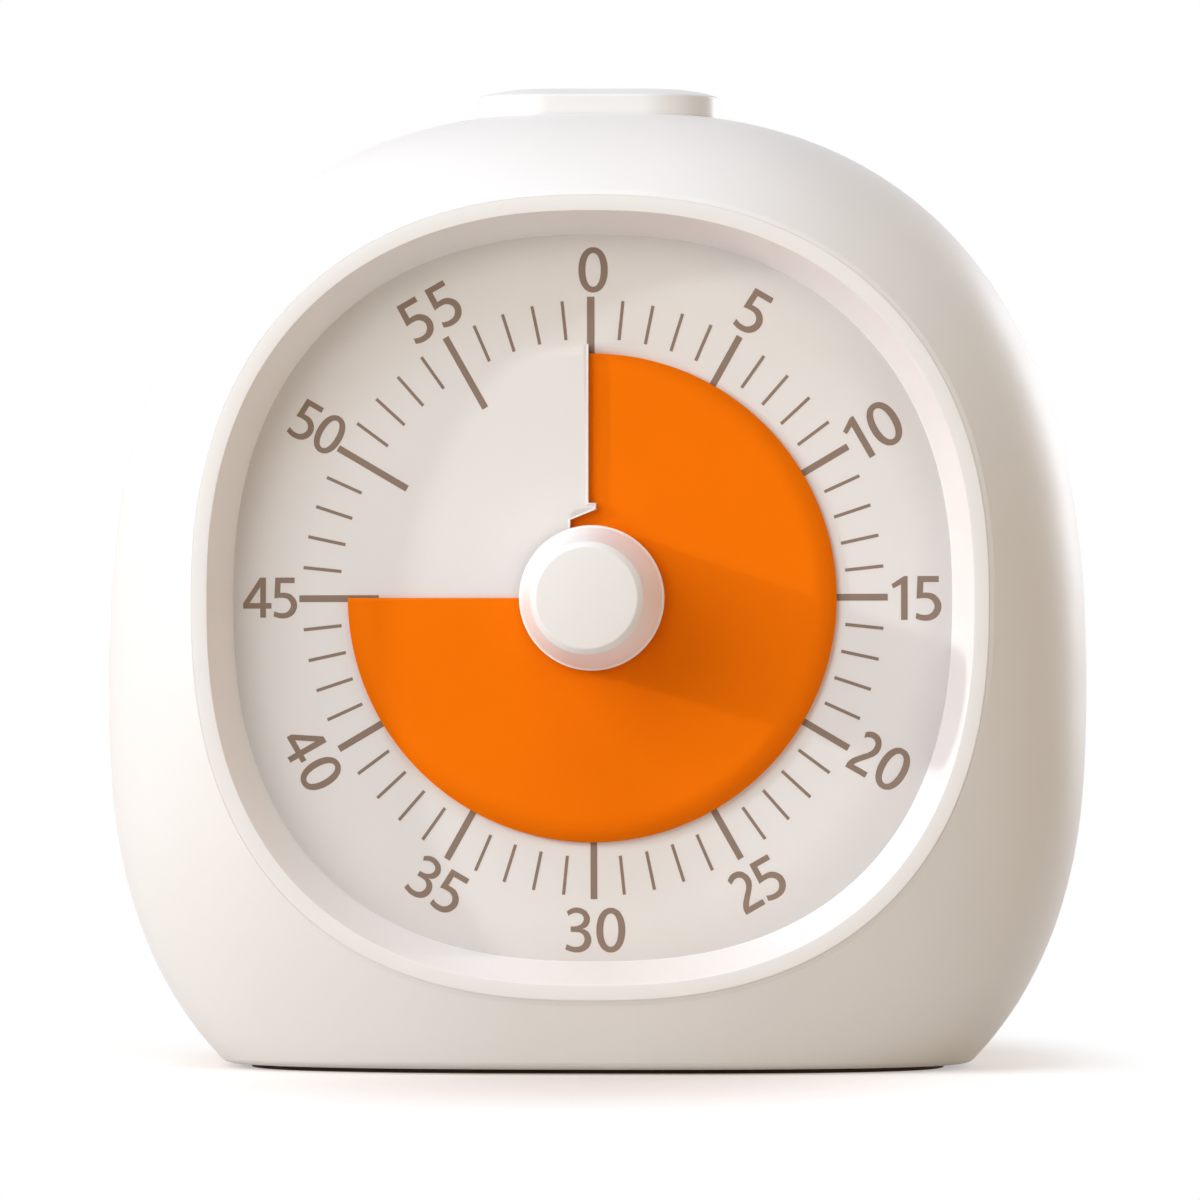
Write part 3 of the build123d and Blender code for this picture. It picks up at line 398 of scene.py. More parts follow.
def makeBezel():
    outer, inner = bezel["outerEdge"], bezel["innerEdge"]
    lean = math.degrees(math.atan2(dialFront - bezelFront, bezel["slope"]))
    skirt = bezelFront + bezel["skirtBack"]
    seam = bezelFront + bezel["seamDepth"]
    profile = [
        (bezel["fit"], dialFront),
        (bezel["fit"], skirt),
        (bezel["skirtReach"], skirt),
        (bezel["skirtReach"], skirt - bezel["skirtEdge"]),
        (bezel["seamWidth"], bezelFront + bezel["skirtDrop"]),
        (bezel["seamWidth"], seam),
        (0, seam),
    ]
    profile += quarterTurn((-outer, bezelFront + outer), outer, 0, -90)
    corner = (-bezel["rim"] + inner * bezel["innerShare"], bezelFront + inner)
    profile += quarterTurn(corner, inner, -90, -90 - lean)
    profile += [(-bezel["rim"] - bezel["slope"], dialFront)]
    bm = bmesh.new()
    stackRings(bm, bezel["segments"], [bezelPlace(grow, y) for grow, y in [*profile, profile[0]]])
    bmesh.ops.remove_doubles(bm, verts=bm.verts, dist=weld)
    bmesh.ops.recalc_face_normals(bm, faces=bm.faces)
    return keepPiece(bm, "bezelRing", "case", "shell_white", ["bezel_ring"], bezel["sharpAngle"])


makeBezel()

# the printed sheet, a shallow screw inside the slit's end and flat outside it
film = {
    "pitch": 1.1 * mm,
    "hole": 5.2 * mm,
    "flatWithin": 21 * mm,  # the sheet's screw shape fades out from here
    "flatRadius": 31 * mm,
    "closeFrom": 23.4 * mm,  # the slit closes between here and its end
    "slitRadius": 24.75 * mm,
    "closeWidth": math.radians(8),
    "closeFlat": math.radians(1),
    "thickness": 0.3 * mm,
    "margin": 0.2 * mm,
    "columnAngle": 1.5,
    "innerRows": 16,
    "closeRows": 4,
    "outerRows": 8,
    "ringWeld": 0.002 * mm,
    "partWeld": 0.003 * mm,
    "cutWeld": 0.0002 * mm,
    "sharpAngle": 6,
    "startLip": (-27, 30),  # turns in degrees, from the slit's tip
    "middle": (30, 330),
    "endLip": (330, 366),
}
# the line that the sheet is slit along, from its tip down to the hole, measured from the dial's middle
slit = {
    "edge": -0.35 * mm,
    "tabReach": 0.4 * mm,
    "tabTop": 9.2 * mm,
    "tabBottom": 8.55 * mm,
    "rootTop": 7.55 * mm,
    "root": -2.1 * mm,
    "cutWithin": 2.5 * mm,
    "rimWidth": 0.17 * mm,
    "rimHeight": 0.09 * mm,
    "rimRoot": 0.27 * mm,  # how far the rim reaches back into the sheet
    "rimPieces": 40,
    "rimTop": 24.55 * mm,
}


def smoothStep(value, low, high):
    share = min(1.0, max(0.0, (value - low) / (high - low)))
    return share * share * (3 - 2 * share)


def filmDepth(radius, turn):
    # how far the film's front lies behind the dial's plane; turn is clockwise from the top
    fade = 1 - smoothStep(radius, film["flatWithin"], film["flatRadius"])
    fromTop = abs((turn + math.pi) % (2 * math.pi) - math.pi)
    past = max(0.0, fromTop - film["closeFlat"]) / film["closeWidth"]
    closed = smoothStep(radius, film["closeFrom"], film["slitRadius"]) * math.exp(-past * past)
    return film["pitch"] / 2 * (1 - turn / math.pi) * fade * (1 - closed)


def slitRoute():
    return [
        (slit["edge"], slit["rimTop"]),
        (slit["edge"], slit["tabTop"]),
        (slit["tabReach"], slit["tabTop"]),
        (slit["tabReach"], slit["tabBottom"]),
        (slit["root"], slit["rootTop"]),
        (slit["root"], math.sqrt(film["hole"] ** 2 - slit["root"] ** 2)),
    ]


def flapLimit(z):
    # how far right the flap reaches at a height above the dial's middle
    if z > slit["tabTop"]:
        return slit["edge"]
    if z > slit["tabBottom"]:
        return slit["tabReach"]
    if z > slit["rootTop"]:
        share = (z - slit["rootTop"]) / (slit["tabBottom"] - slit["rootTop"])
        return slit["root"] + share * (slit["tabReach"] - slit["root"])
    return slit["root"]


def sweepRadii(bm, radii, start, end):
    # turns a straight chain of points about the dial's axis, from one turn in degrees to another
    first = math.radians(start)
    chain = [bm.verts.new((radius * math.sin(first), 0, radius * math.cos(first))) for radius in radii]
    edges = [bm.edges.new(pair) for pair in zip(chain, chain[1:])]
    bmesh.ops.spin(
        bm,
        geom=chain + edges,
        cent=(0, 0, 0),
        axis=(0, 1, 0),
        angle=math.radians(end - start),
        steps=round((end - start) / film["columnAngle"]),
        use_merge=False,
    )


def bendSheet(bm, middle):
    # gives the flat sheet its depth; turns are counted on from half a circle before the middle
    for vert in bm.verts:
        x, z = vert.co.x, vert.co.z
        turn = middle + (math.atan2(x, z) - middle + math.pi) % (2 * math.pi) - math.pi
        vert.co.y = dialFront + filmDepth(math.hypot(x, z), turn)
        vert.co.z = dialHeight + z


def cutAlongSlit(bm, keepRight):
    # cuts a lip along the slit and drops what lies beyond it
    corners = slitRoute()
    for (x, z), (nextX, nextZ) in zip(corners, corners[1:]):
        across = Vector((nextZ - z, 0, x - nextX))
        near = [face for face in bm.faces if abs(face.calc_center_median().x) < slit["cutWithin"]]
        edges = dict.fromkeys(edge for face in near for edge in face.edges)
        verts = dict.fromkeys(vert for face in near for vert in face.verts)
        geom = [*verts, *edges, *near]
        bmesh.ops.bisect_plane(bm, geom=geom, dist=film["cutWeld"], plane_co=(x, 0, z), plane_no=across)
    beyond = []
    for face in bm.faces:
        middle = face.calc_center_median()
        if (middle.x > flapLimit(middle.z)) != keepRight:
            beyond.append(face)
    bmesh.ops.delete(bm, geom=beyond, context="FACES")


def makeLeaf(span, tip, keepRight=None):
    # a sector of the sheet out to the slit's end; the two lips are cut along the slit
    bm = bmesh.new()
    start, end = (tip + limit for limit in span)
    reach = film["slitRadius"] - film["hole"]
    radii = [film["hole"] + reach * row / film["innerRows"] for row in range(film["innerRows"] + 1)]
    stride = (film["slitRadius"] - film["closeFrom"]) / film["closeRows"]
    radii[-1:-1] = [film["closeFrom"] + stride * row for row in range(1, film["closeRows"])]
    sweepRadii(bm, radii, start, end)
    if keepRight is not None:
        cutAlongSlit(bm, keepRight)
    bendSheet(bm, math.radians(start + end) / 2)
    return bm


def makeSurround(tip):
    # the closed sheet outside the slit, out to the bezel
    bm = bmesh.new()
    reach = film["flatRadius"] - film["slitRadius"]
    radii = [film["slitRadius"] + reach * row / film["outerRows"] for row in range(film["outerRows"] + 2)]
    sweepRadii(bm, radii, tip, tip + 360)
    bmesh.ops.remove_doubles(bm, verts=bm.verts, dist=film["ringWeld"])
    outer = radii[-1] - reach / film["outerRows"] / 2
    outline = bezelPlace(-film["margin"], 0)
    rim = [vert for vert in bm.verts if math.hypot(vert.co.x, vert.co.z) > outer]
    bendSheet(bm, math.pi)
    for vert in rim:
        edge = outline(math.pi / 2 - math.atan2(vert.co.x, vert.co.z - dialHeight))
        vert.co = (edge.x, dialFront, edge.z)
    return bm


def makeFilm():
    tip = math.degrees(math.asin(slit["edge"] / film["slitRadius"]))
    bm = makeLeaf(film["startLip"], tip, True)
    joinInto(bm, makeLeaf(film["middle"], tip))
    joinInto(bm, makeLeaf(film["endLip"], tip, False))
    joinInto(bm, makeSurround(tip))
    bmesh.ops.remove_doubles(bm, verts=bm.verts, dist=film["partWeld"])
    bmesh.ops.dissolve_degenerate(bm, edges=bm.edges, dist=weld)
    faceFront(bm)
    piece = keepPiece(bm, "dialFilm", "case", "dial_white", ["dial"], film["sharpAngle"])
    addWall(piece, "filmThickness", film["thickness"])
    return piece


makeFilm()


def insetRoute(route, width):
    # the same route moved to its right-hand side as one walks down it, with mitred corners
    sides = []
    for (x, z), (nextX, nextZ) in zip(route, route[1:]):
        sides.append(Vector((nextZ - z, x - nextX)).normalized())
    moved = []
    for index, (x, z) in enumerate(route):
        before, after = sides[max(index - 1, 0)], sides[min(index, len(sides) - 1)]
        shift = (before + after) * width / (1 + before.dot(after))
        moved.append((x + shift.x, z + shift.y))
    return moved


def makeFlapRim():
    # a fine raised lip along the slit's cut edge, in the brighter, cooler button white: a painted highlight
    # for the light the flap's edge catches, on a lip that also catches real light
    corners = slitRoute()
    (x, top), (_, bottom) = corners[0], corners[1]
    stride = (bottom - top) / slit["rimPieces"]
    route = [(x, top + stride * step) for step in range(slit["rimPieces"])] + corners[1:]
    bm = bmesh.new()
    edge = [bm.verts.new((x, 0, z)) for x, z in route]
    lines = [bm.edges.new(pair) for pair in zip(edge, edge[1:])]
    bmesh.ops.extrude_edge_only(bm, edges=lines)
    bm.verts.ensure_lookup_table()
    for vert, (x, z) in zip(bm.verts[len(route):], insetRoute(route, slit["rimWidth"])):
        vert.co = (x, 0, z)
    bendSheet(bm, 2 * math.pi)
    for vert in bm.verts:
        vert.co.y -= slit["rimHeight"]
    faceFront(bm)
    piece = keepPiece(bm, "flapRim", "case", "button_white")
    addWall(piece, "rimThickness", slit["rimHeight"] + slit["rimRoot"])
    return piece


makeFlapRim()

# the printed minute marks
scale = {
    "minorInner": 24.8 * mm,
    "minorOuter": 28.55 * mm,
    "minorWidth": 0.31 * mm,
    "majorInner": 21.0 * mm,
    "majorOuter": 28.82 * mm,
    "zeroOuter": 29.15 * mm,
    "majorWidth": 0.65 * mm,
    "zeroWidth": 0.72 * mm,
    "offset": 0.09 * mm,
    "tall": 0.0115,  # the ring of marks is this share taller and narrower than a circle
    "lean": math.radians(-0.15),
    "zeroOffset": -0.15 * mm,
    "zeroLipInner": 23.7 * mm,
    "zeroLipGap": 0.02 * mm,
    "zeroFlapInner": 24.6 * mm,
    "lift": 0.02 * mm,
    "pieces": 14,
}


def liftOnFilm(bm, middle=math.pi):
    # lays flat print on the film's front
    for vert in bm.verts:
        x, z = vert.co.x, vert.co.z - dialHeight
        turn = middle + (math.atan2(x, z) - middle + math.pi) % (2 * math.pi) - math.pi
        vert.co.y = dialFront + filmDepth(math.hypot(x, z), turn) - scale["lift"]


def addTick(bm, turn, inner, outer, left, right, offset):
    # strip along a radius, extruded outwards in short steps
    out = Vector((math.sin(turn), 0, math.cos(turn)))
    side = Vector((math.cos(turn), 0, -math.sin(turn)))
    middle = Vector((offset, 0, dialHeight))
    start = [bm.verts.new(middle + out * inner + side * across) for across in (left, right)]
    edges = [bm.edges.new(start)]
    stride = out * (outer - inner) / scale["pieces"]
    for _ in range(scale["pieces"]):
        grown = bmesh.ops.extrude_edge_only(bm, edges=edges)["geom"]
        verts = [item for item in grown if isinstance(item, bmesh.types.BMVert)]
        bmesh.ops.translate(bm, verts=verts, vec=stride)
        edges = [item for item in grown if isinstance(item, bmesh.types.BMEdge)]
        edges = [edge for edge in edges if all(vert in verts for vert in edge.verts)]


def makeScale():
    bm = bmesh.new()
    for minute in range(1, 60):
        major = minute % 5 == 0
        turn = math.radians(6 * minute)
        half = (scale["majorWidth"] if major else scale["minorWidth"]) / 2
        outer = scale["majorOuter"] if major else scale["minorOuter"]
        inner = scale["majorInner"] if major else scale["minorInner"]
        addTick(bm, turn + scale["lean"], inner, outer, -half, half, scale["offset"])
    stretch = (1 - scale["tall"], 1, 1 + scale["tall"])
    bmesh.ops.scale(bm, verts=bm.verts, vec=stretch, space=Matrix.Translation((0, 0, -dialHeight)))
    liftOnFilm(bm)
    # the zero mark is cut by the slit: one part above its end and one on each lip
    half, shift, tip = scale["zeroWidth"] / 2, scale["zeroOffset"], film["slitRadius"]
    cut = slit["edge"] - shift
    for inner, outer, left, right, middle in (
        (tip, scale["zeroOuter"], -half, half, 0),
        (scale["zeroLipInner"], tip, cut + scale["zeroLipGap"], half, 0),
        (scale["zeroFlapInner"], tip, -half, cut, 2 * math.pi),
    ):
        part = bmesh.new()
        addTick(part, 0, inner, outer, left, right, shift)
        liftOnFilm(part, middle)
        joinInto(bm, part)
    bmesh.ops.recalc_face_normals(bm, faces=bm.faces)
    faceFront(bm)
    return keepPiece(bm, "minuteMarks", "case", "print_grey", ["scale_marks"])


makeScale()

# outlines of the figures, one unit high: loops of (x, z) points, with True where a corner stays sharp
figures = {
    "0": [],
    "1": [
        [
            (0.22, 0, True), (0.37, 0, True), (0.37, 1, True), (0.287, 1, True), (0, 0.809, True),
            (0.043, 0.717, True), (0.22, 0.809, True),
        ],
    ],
    "2": [
        [
            (0, 0, True), (0.519, 0, True), (0.519, 0.137, True), (0.145, 0.137, True),
            (0.22, 0.249), (0.38, 0.433), (0.485, 0.59), (0.507, 0.72), (0.473, 0.85),
            (0.385, 0.965), (0.24, 1.012), (0.11, 0.985), (0.019, 0.919, True), (0.05, 0.79, True),
            (0.124, 0.842), (0.225, 0.87), (0.325, 0.825), (0.362, 0.71), (0.33, 0.586),
            (0.183, 0.409), (0.047, 0.239), (0, 0.12, True),
        ],
    ],
    "3": [
        [
            (0.034, 0.933, True), (0.14, 0.995), (0.272, 1.021), (0.459, 0.957), (0.535, 0.869),
            (0.57, 0.758), (0.518, 0.6), (0.459, 0.553), (0.395, 0.535, True), (0.506, 0.482),
            (0.576, 0.389), (0.602, 0.278), (0.576, 0.155), (0.494, 0.055), (0.389, 0.002),
            (0.26, -0.015), (0.119, 0.008), (0, 0.055, True), (0.034, 0.176, True), (0.131, 0.131),
            (0.26, 0.114), (0.365, 0.143), (0.424, 0.213), (0.445, 0.295), (0.412, 0.389),
            (0.342, 0.44), (0.225, 0.457), (0.125, 0.457, True), (0.125, 0.586, True),
            (0.225, 0.586), (0.319, 0.611), (0.395, 0.67), (0.426, 0.746), (0.4, 0.834),
            (0.342, 0.878), (0.254, 0.898), (0.155, 0.878), (0.073, 0.831, True),
        ],
    ],
    "4": [
        [
            (0, 0.225, True), (0, 0.36, True), (0.424, 1, True), (0.573, 1, True),
            (0.573, 0.364, True), (0.71, 0.364, True), (0.71, 0.225, True), (0.573, 0.225, True),
            (0.573, 0, True), (0.43, 0, True), (0.43, 0.225, True),
        ],
        [
            (0.163, 0.364, True), (0.43, 0.765, True), (0.43, 0.364, True),
        ],
    ],
    "5": [
        [
            (0.041, 1, True), (0.527, 1, True), (0.527, 0.863, True), (0.176, 0.863, True),
            (0.168, 0.619, True), (0.26, 0.623), (0.391, 0.599), (0.483, 0.537), (0.555, 0.445),
            (0.588, 0.322), (0.565, 0.189), (0.493, 0.077), (0.381, 0.005), (0.237, -0.02),
            (0.104, -0.005), (0, 0.031, True), (0.017, 0.161, True), (0.115, 0.123), (0.217, 0.113),
            (0.319, 0.133), (0.401, 0.21), (0.432, 0.312), (0.401, 0.404), (0.319, 0.476),
            (0.197, 0.496), (0.115, 0.493), (0.02, 0.481, True),
        ],
    ],
}
zero = {"outer": (0.3335, 0.515), "inner": (0.1735, 0.383), "middle": 0.5, "power": 2.15, "points": 16}
for wide, high in (zero["outer"], zero["inner"]):
    turns = [2 * math.pi * step / zero["points"] for step in range(zero["points"])]
    loop = [ovalPoint(turn, wide, high, high, zero["power"], zero["power"]) for turn in turns]
    figures["0"].append([(zero["outer"][0] + x, zero["middle"] + z) for x, z in loop])
outlineSteps = 4  # straight pieces in each curve of an outline
# how far one figure pushes on the next, and how wide each is
advances = {"0": 0.74, "1": 0.571, "2": 0.66, "3": 0.717, "4": 0.779, "5": 0.7}
widths = {"0": 0.667, "1": 0.37, "2": 0.519, "3": 0.602, "4": 0.71, "5": 0.588}
# each number's place from the dial's middle, lean in degrees, height and spread of its figures
numbers = {
    "0": (0.08 * mm, 31.75 * mm, 0, 4.26 * mm, 1.0),
    "5": (15.67 * mm, 27.64 * mm, -30, 4.2 * mm, 1.0),
    "10": (27.22 * mm, 16.24 * mm, 30, 4.35 * mm, 0.96),
    "15": (31.35 * mm, 0.0, 0, 4.24 * mm, 0.97),
    "20": (27.90 * mm, -15.84 * mm, -30, 4.22 * mm, 0.97),
    "25": (16.03 * mm, -27.66 * mm, 30, 4.1 * mm, 0.93),
    "30": (0.29 * mm, -32.15 * mm, 0, 4.2 * mm, 1.0),
    "35": (-15.01 * mm, -27.79 * mm, -30, 4.08 * mm, 1.0),
    "40": (-27.16 * mm, -15.56 * mm, -60, 4.05 * mm, 1.06),
    "45": (-31.24 * mm, 0.03 * mm, 0, 3.88 * mm, 0.98),
    "50": (-26.54 * mm, 16.47 * mm, -30, 3.85 * mm, 0.92),
    "55": (-15.66 * mm, 27.70 * mm, 30, 4.18 * mm, 1.07),
}


def drawFigure(curve, loops, shift):
    # adds one figure's closed outlines to the curve
    for loop in loops:
        spline = curve.splines.new("BEZIER")
        spline.bezier_points.add(len(loop) - 1)
        for point, spot in zip(spline.bezier_points, loop):
            point.co = (spot[0] + shift, spot[1], 0)
            kind = "VECTOR" if len(spot) > 2 else "AUTO"
            point.handle_left_type = point.handle_right_type = kind
        spline.use_cyclic_u = True


def makeNumber(text):
    across, up, lean, height, spread = numbers[text]
    total = sum(advances[figure] * spread for figure in text[:-1]) + widths[text[-1]]
    curve = bpy.data.curves.new(f"outline{text}", "CURVE")
    curve.dimensions = "2D"
    curve.fill_mode = "BOTH"
    curve.resolution_u = outlineSteps
    shift = -total / 2
    for figure in text:
        drawFigure(curve, figures[figure], shift)
        shift += advances[figure] * spread
    drawn = bpy.data.objects.new(f"drawn{text}", curve)
    bpy.context.scene.collection.objects.link(drawn)
    bpy.context.view_layer.update()
    shown = drawn.evaluated_get(bpy.context.evaluated_depsgraph_get())
    filled = bpy.data.meshes.new_from_object(shown)
    bm = bmesh.new()
    bm.from_mesh(filled)
    bpy.data.objects.remove(drawn)
    bpy.data.meshes.remove(filled)
    place = Matrix.Translation((across, 0, dialHeight + up))
    place @= Matrix.Rotation(math.radians(-lean), 4, "Y") @ Matrix.Rotation(math.pi / 2, 4, "X")
    place @= Matrix.Scale(height, 4) @ Matrix.Translation((0, -0.5, 0))
    bmesh.ops.transform(bm, matrix=place, verts=bm.verts)
    bmesh.ops.remove_doubles(bm, verts=bm.verts, dist=weld)
    liftOnFilm(bm)
    faceFront(bm)
    return keepPiece(bm, f"number{text}", "case", "print_grey")


for text in numbers:
    makeNumber(text)

# the orange disc, one turn of a screw of the film's pitch; start and end are turns in degrees
disc = {
    "inner": 4.4 * mm,
    "outer": 23.65 * mm,
    "thickness": 0.3 * mm,
    "lift": 0.05 * mm,  # its front behind the dial's plane at the top
    "start": -96,
    "end": 270,
    "stepAngle": 1.0,
    "rings": 8,
}


def makeDisc():
    bm = bmesh.new()
    start = math.radians(disc["start"])
    out = Vector((math.sin(start), 0, math.cos(start)))
    front = dialFront + disc["lift"] - film["pitch"] * disc["start"] / 360
    middle = Vector((0, front, dialHeight))
    stride = (disc["outer"] - disc["inner"]) / disc["rings"]
    radii = [disc["inner"] + stride * step for step in range(disc["rings"] + 1)]
    chain = [bm.verts.new(middle + out * radius) for radius in radii]
    for first, second in zip(chain, chain[1:]):
        bm.edges.new((first, second))
    steps = round((disc["end"] - disc["start"]) / disc["stepAngle"])
    bmesh.ops.spin(
        bm,
        geom=bm.verts[:] + bm.edges[:],
        cent=(0, 0, dialHeight),
        axis=(0, 1, 0),
        dvec=(0, -film["pitch"] * disc["stepAngle"] / 360, 0),
        angle=math.radians(disc["end"] - disc["start"]),
        steps=steps,
        use_merge=False,
    )
    bmesh.ops.recalc_face_normals(bm, faces=bm.faces)
    faceFront(bm)
    piece = keepPiece(bm, "timeDisc", "disc", "disc_orange", ["time_disc"])
    addWall(piece, "discThickness", disc["thickness"])
    return piece


makeDisc()

# the cone knob
knob = {
    "baseRadius": 7.03 * mm,
    "lip": 0.35 * mm,
    "lipRadius": 6.83 * mm,
    "frontRadius": 5.42 * mm,
    "faceRadius": 4.86 * mm,
    "length": 13.6 * mm,
    "chamfer": 0.55 * mm,
    "edge": 0.12 * mm,
    "boreRadius": 1.53 * mm,
    "boreDepth": 9.0 * mm,
    "edgeFrom": math.radians(15),  # sharper edges than this are rounded
    "edgeSegments": 3,
    "segments": 160,
    "sharpAngle": 25,
}


def turnedPiece(profile, segments):
    # solid turned about the dial's axis from (radius, y) points
    bm = bmesh.new()
    chain = [bm.verts.new((radius, y, dialHeight)) for radius, y in profile]
    for first, second in zip(chain, chain[1:]):
        bm.edges.new((first, second))
    bmesh.ops.spin(
        bm,
        geom=bm.verts[:] + bm.edges[:],
        cent=(0, 0, dialHeight),
        axis=(0, 1, 0),
        angle=2 * math.pi,
        steps=segments,
        use_merge=True,
    )
    bmesh.ops.remove_doubles(bm, verts=bm.verts, dist=weld)
    bmesh.ops.recalc_face_normals(bm, faces=bm.faces)
    return bm


def makeKnob():
    face = knobBack - knob["length"]
    profile = [
        (0, knobBack - knob["boreDepth"]),
        (knob["boreRadius"], knobBack - knob["boreDepth"]),
        (knob["boreRadius"], knobBack),
        (knob["baseRadius"], knobBack),
        (knob["baseRadius"], knobBack - knob["lip"]),
        (knob["lipRadius"], knobBack - knob["lip"]),
        (knob["frontRadius"], face + knob["chamfer"]),
        (knob["faceRadius"], face),
        (0, face),
    ]
    bm = turnedPiece(profile, knob["segments"])
    bmesh.ops.bevel(
        bm,
        geom=[edge for edge in bm.edges if edge.calc_face_angle(0) > knob["edgeFrom"]],
        offset=knob["edge"],
        offset_type="OFFSET",
        segments=knob["edgeSegments"],
        profile=0.5,
        affect="EDGES",
        material=-1,
    )
    return keepPiece(bm, "settingKnob", "knob", "shell_white", ["knob"], knob["sharpAngle"])


makeKnob()

# the push button, a hollow cap with a flange
button = {
    "halfLength": 11.9 * mm,
    "halfDepth": 7.5 * mm,
    "flange": 1.0 * mm,
    "flangeBottom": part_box("top_button")[0].z,
    "flangeHeight": 1.2 * mm,
    "top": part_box("top_button")[1].z,
    "dome": 0.9 * mm,
    "domePower": 5,
    "domeReach": 0.985,
    "domeRings": 16,
    "domeCrowding": 1.5,  # above 1 the rings crowd towards the rim
    "rimEdge": 0.3 * mm,
    "rimSteps": 5,
    "wall": 1.5 * mm,
    "segments": 192,
    "sharpAngle": 35,
}


def stadiumPlace(grow, z):
    # slot shape as seen from above
    radius = button["halfDepth"] + grow
    centre = button["halfLength"] - button["halfDepth"]

    def placeOf(turn):
        x = radius * math.cos(turn)
        return Vector((x + math.copysign(centre, x), radius * math.sin(turn), z))

    return placeOf


def domeRise(depth):
    # height of the domed top above its rim, at a distance in from the wall
    return button["dome"] * (1 - (1 - depth / button["halfLength"]) ** button["domePower"])


def makeButton():
    low = button["flangeBottom"]
    rim = button["top"] - button["dome"]
    ceiling = rim - button["wall"]
    edge, shoulder = button["rimEdge"], low + button["flangeHeight"]
    outside = [(button["flange"], low), (button["flange"], shoulder), (0, shoulder)]
    # a small round edge runs into the dome at the dome's own steepness
    steepness = math.atan(button["dome"] * button["domePower"] / button["halfLength"])
    start = edge * (1 - math.sin(steepness))
    centre = rim + domeRise(start) - edge * math.cos(steepness)
    outside += quarterTurn((-edge, centre), edge, 0, 90 - math.degrees(steepness), button["rimSteps"])
    reach = button["halfDepth"] * button["domeReach"] - start
    for step in range(1, button["domeRings"] + 1):
        depth = start + reach * (step / button["domeRings"]) ** button["domeCrowding"]
        outside.append((-depth, rim + domeRise(depth)))
    inside = [(-button["wall"], low), (-button["wall"], ceiling)]
    bm = bmesh.new()
    places = [stadiumPlace(grow, z) for grow, z in [*reversed(inside), *outside]]
    for end in stackRings(bm, button["segments"], places):
        bmesh.ops.edgeloop_fill(bm, edges=end)
    bmesh.ops.recalc_face_normals(bm, faces=bm.faces)
    return keepPiece(bm, "pushButton", "button", "button_white", ["top_button"], button["sharpAngle"])


makeButton()

# the coil spring under the button
spring = {
    "radius": 5.2 * mm,
    "wire": 0.25 * mm,
    "turns": 6,
    "turnSteps": 36,
    "sides": 10,
    "sharpAngle": 50,
}


def makeSpring():
    bottom, top = (corner.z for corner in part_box("button_spring"))
    steps = spring["turns"] * spring["turnSteps"]
    bm = bmesh.new()
    bmesh.ops.create_circle(bm, segments=spring["sides"], radius=spring["wire"])
    place = Matrix.Translation((spring["radius"], 0, bottom + spring["wire"]))
    bmesh.ops.transform(bm, matrix=place @ Matrix.Rotation(math.pi / 2, 4, "X"), verts=bm.verts)
    bmesh.ops.spin(
        bm,
        geom=bm.verts[:] + bm.edges[:],
        cent=(0, 0, 0),
        axis=(0, 0, 1),
        dvec=(0, 0, (top - bottom - 2 * spring["wire"]) / steps),
        angle=2 * math.pi * spring["turns"],
        steps=steps,
        use_merge=False,
    )
    bmesh.ops.holes_fill(bm, edges=bm.edges, sides=spring["sides"])
    bmesh.ops.recalc_face_normals(bm, faces=bm.faces)
    piece = keepPiece(bm, "buttonSpring", None, "steel", ["button_spring"], spring["sharpAngle"])
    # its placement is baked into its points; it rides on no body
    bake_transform(piece)
    return piece


makeSpring()

# the white room round the timer
studio = {
    "floorRadius": 0.9,
    "floorSegments": 96,
    "depthShare": 0.5,  # distances in front and behind count for this much of those to the sides
    "fadeStart": 0.040,
    "fadeEnd": 0.056,
    # painted shade: within these distances the paper's glow drops to a warm grey, a painted shadow round
    # the timer's foot
    "paintedShadeStart": 0.014,
    "paintedShadeEnd": 0.043,
    "paintedShadeGlow": (0.38, 0.33, 0.29),
    "clearGlow": (1.0, 1.0, 1.0),
    "floorColour": (0.62, 0.59, 0.56, 1),
    "floorGlow": 0.52,
    "ambient": (1.0, 0.60, 0.32, 1),
    "ambientStrength": 0.25,
    "lampDistance": 0.8,
}


def seenDirectly(nodes, links):
    # 1 for rays from the camera, mirrors and glass, 0 for the rest
    rays = addNode(nodes, "ShaderNodeLightPath")
    first = addNode(nodes, "ShaderNodeMath", operation="MAXIMUM")
    second = addNode(nodes, "ShaderNodeMath", operation="MAXIMUM")
    links.new(rays.outputs["Is Camera Ray"], first.inputs[0])
    links.new(rays.outputs["Is Glossy Ray"], first.inputs[1])
    links.new(first.outputs[0], second.inputs[0])
    links.new(rays.outputs["Is Transmission Ray"], second.inputs[1])
    return second.outputs[0]


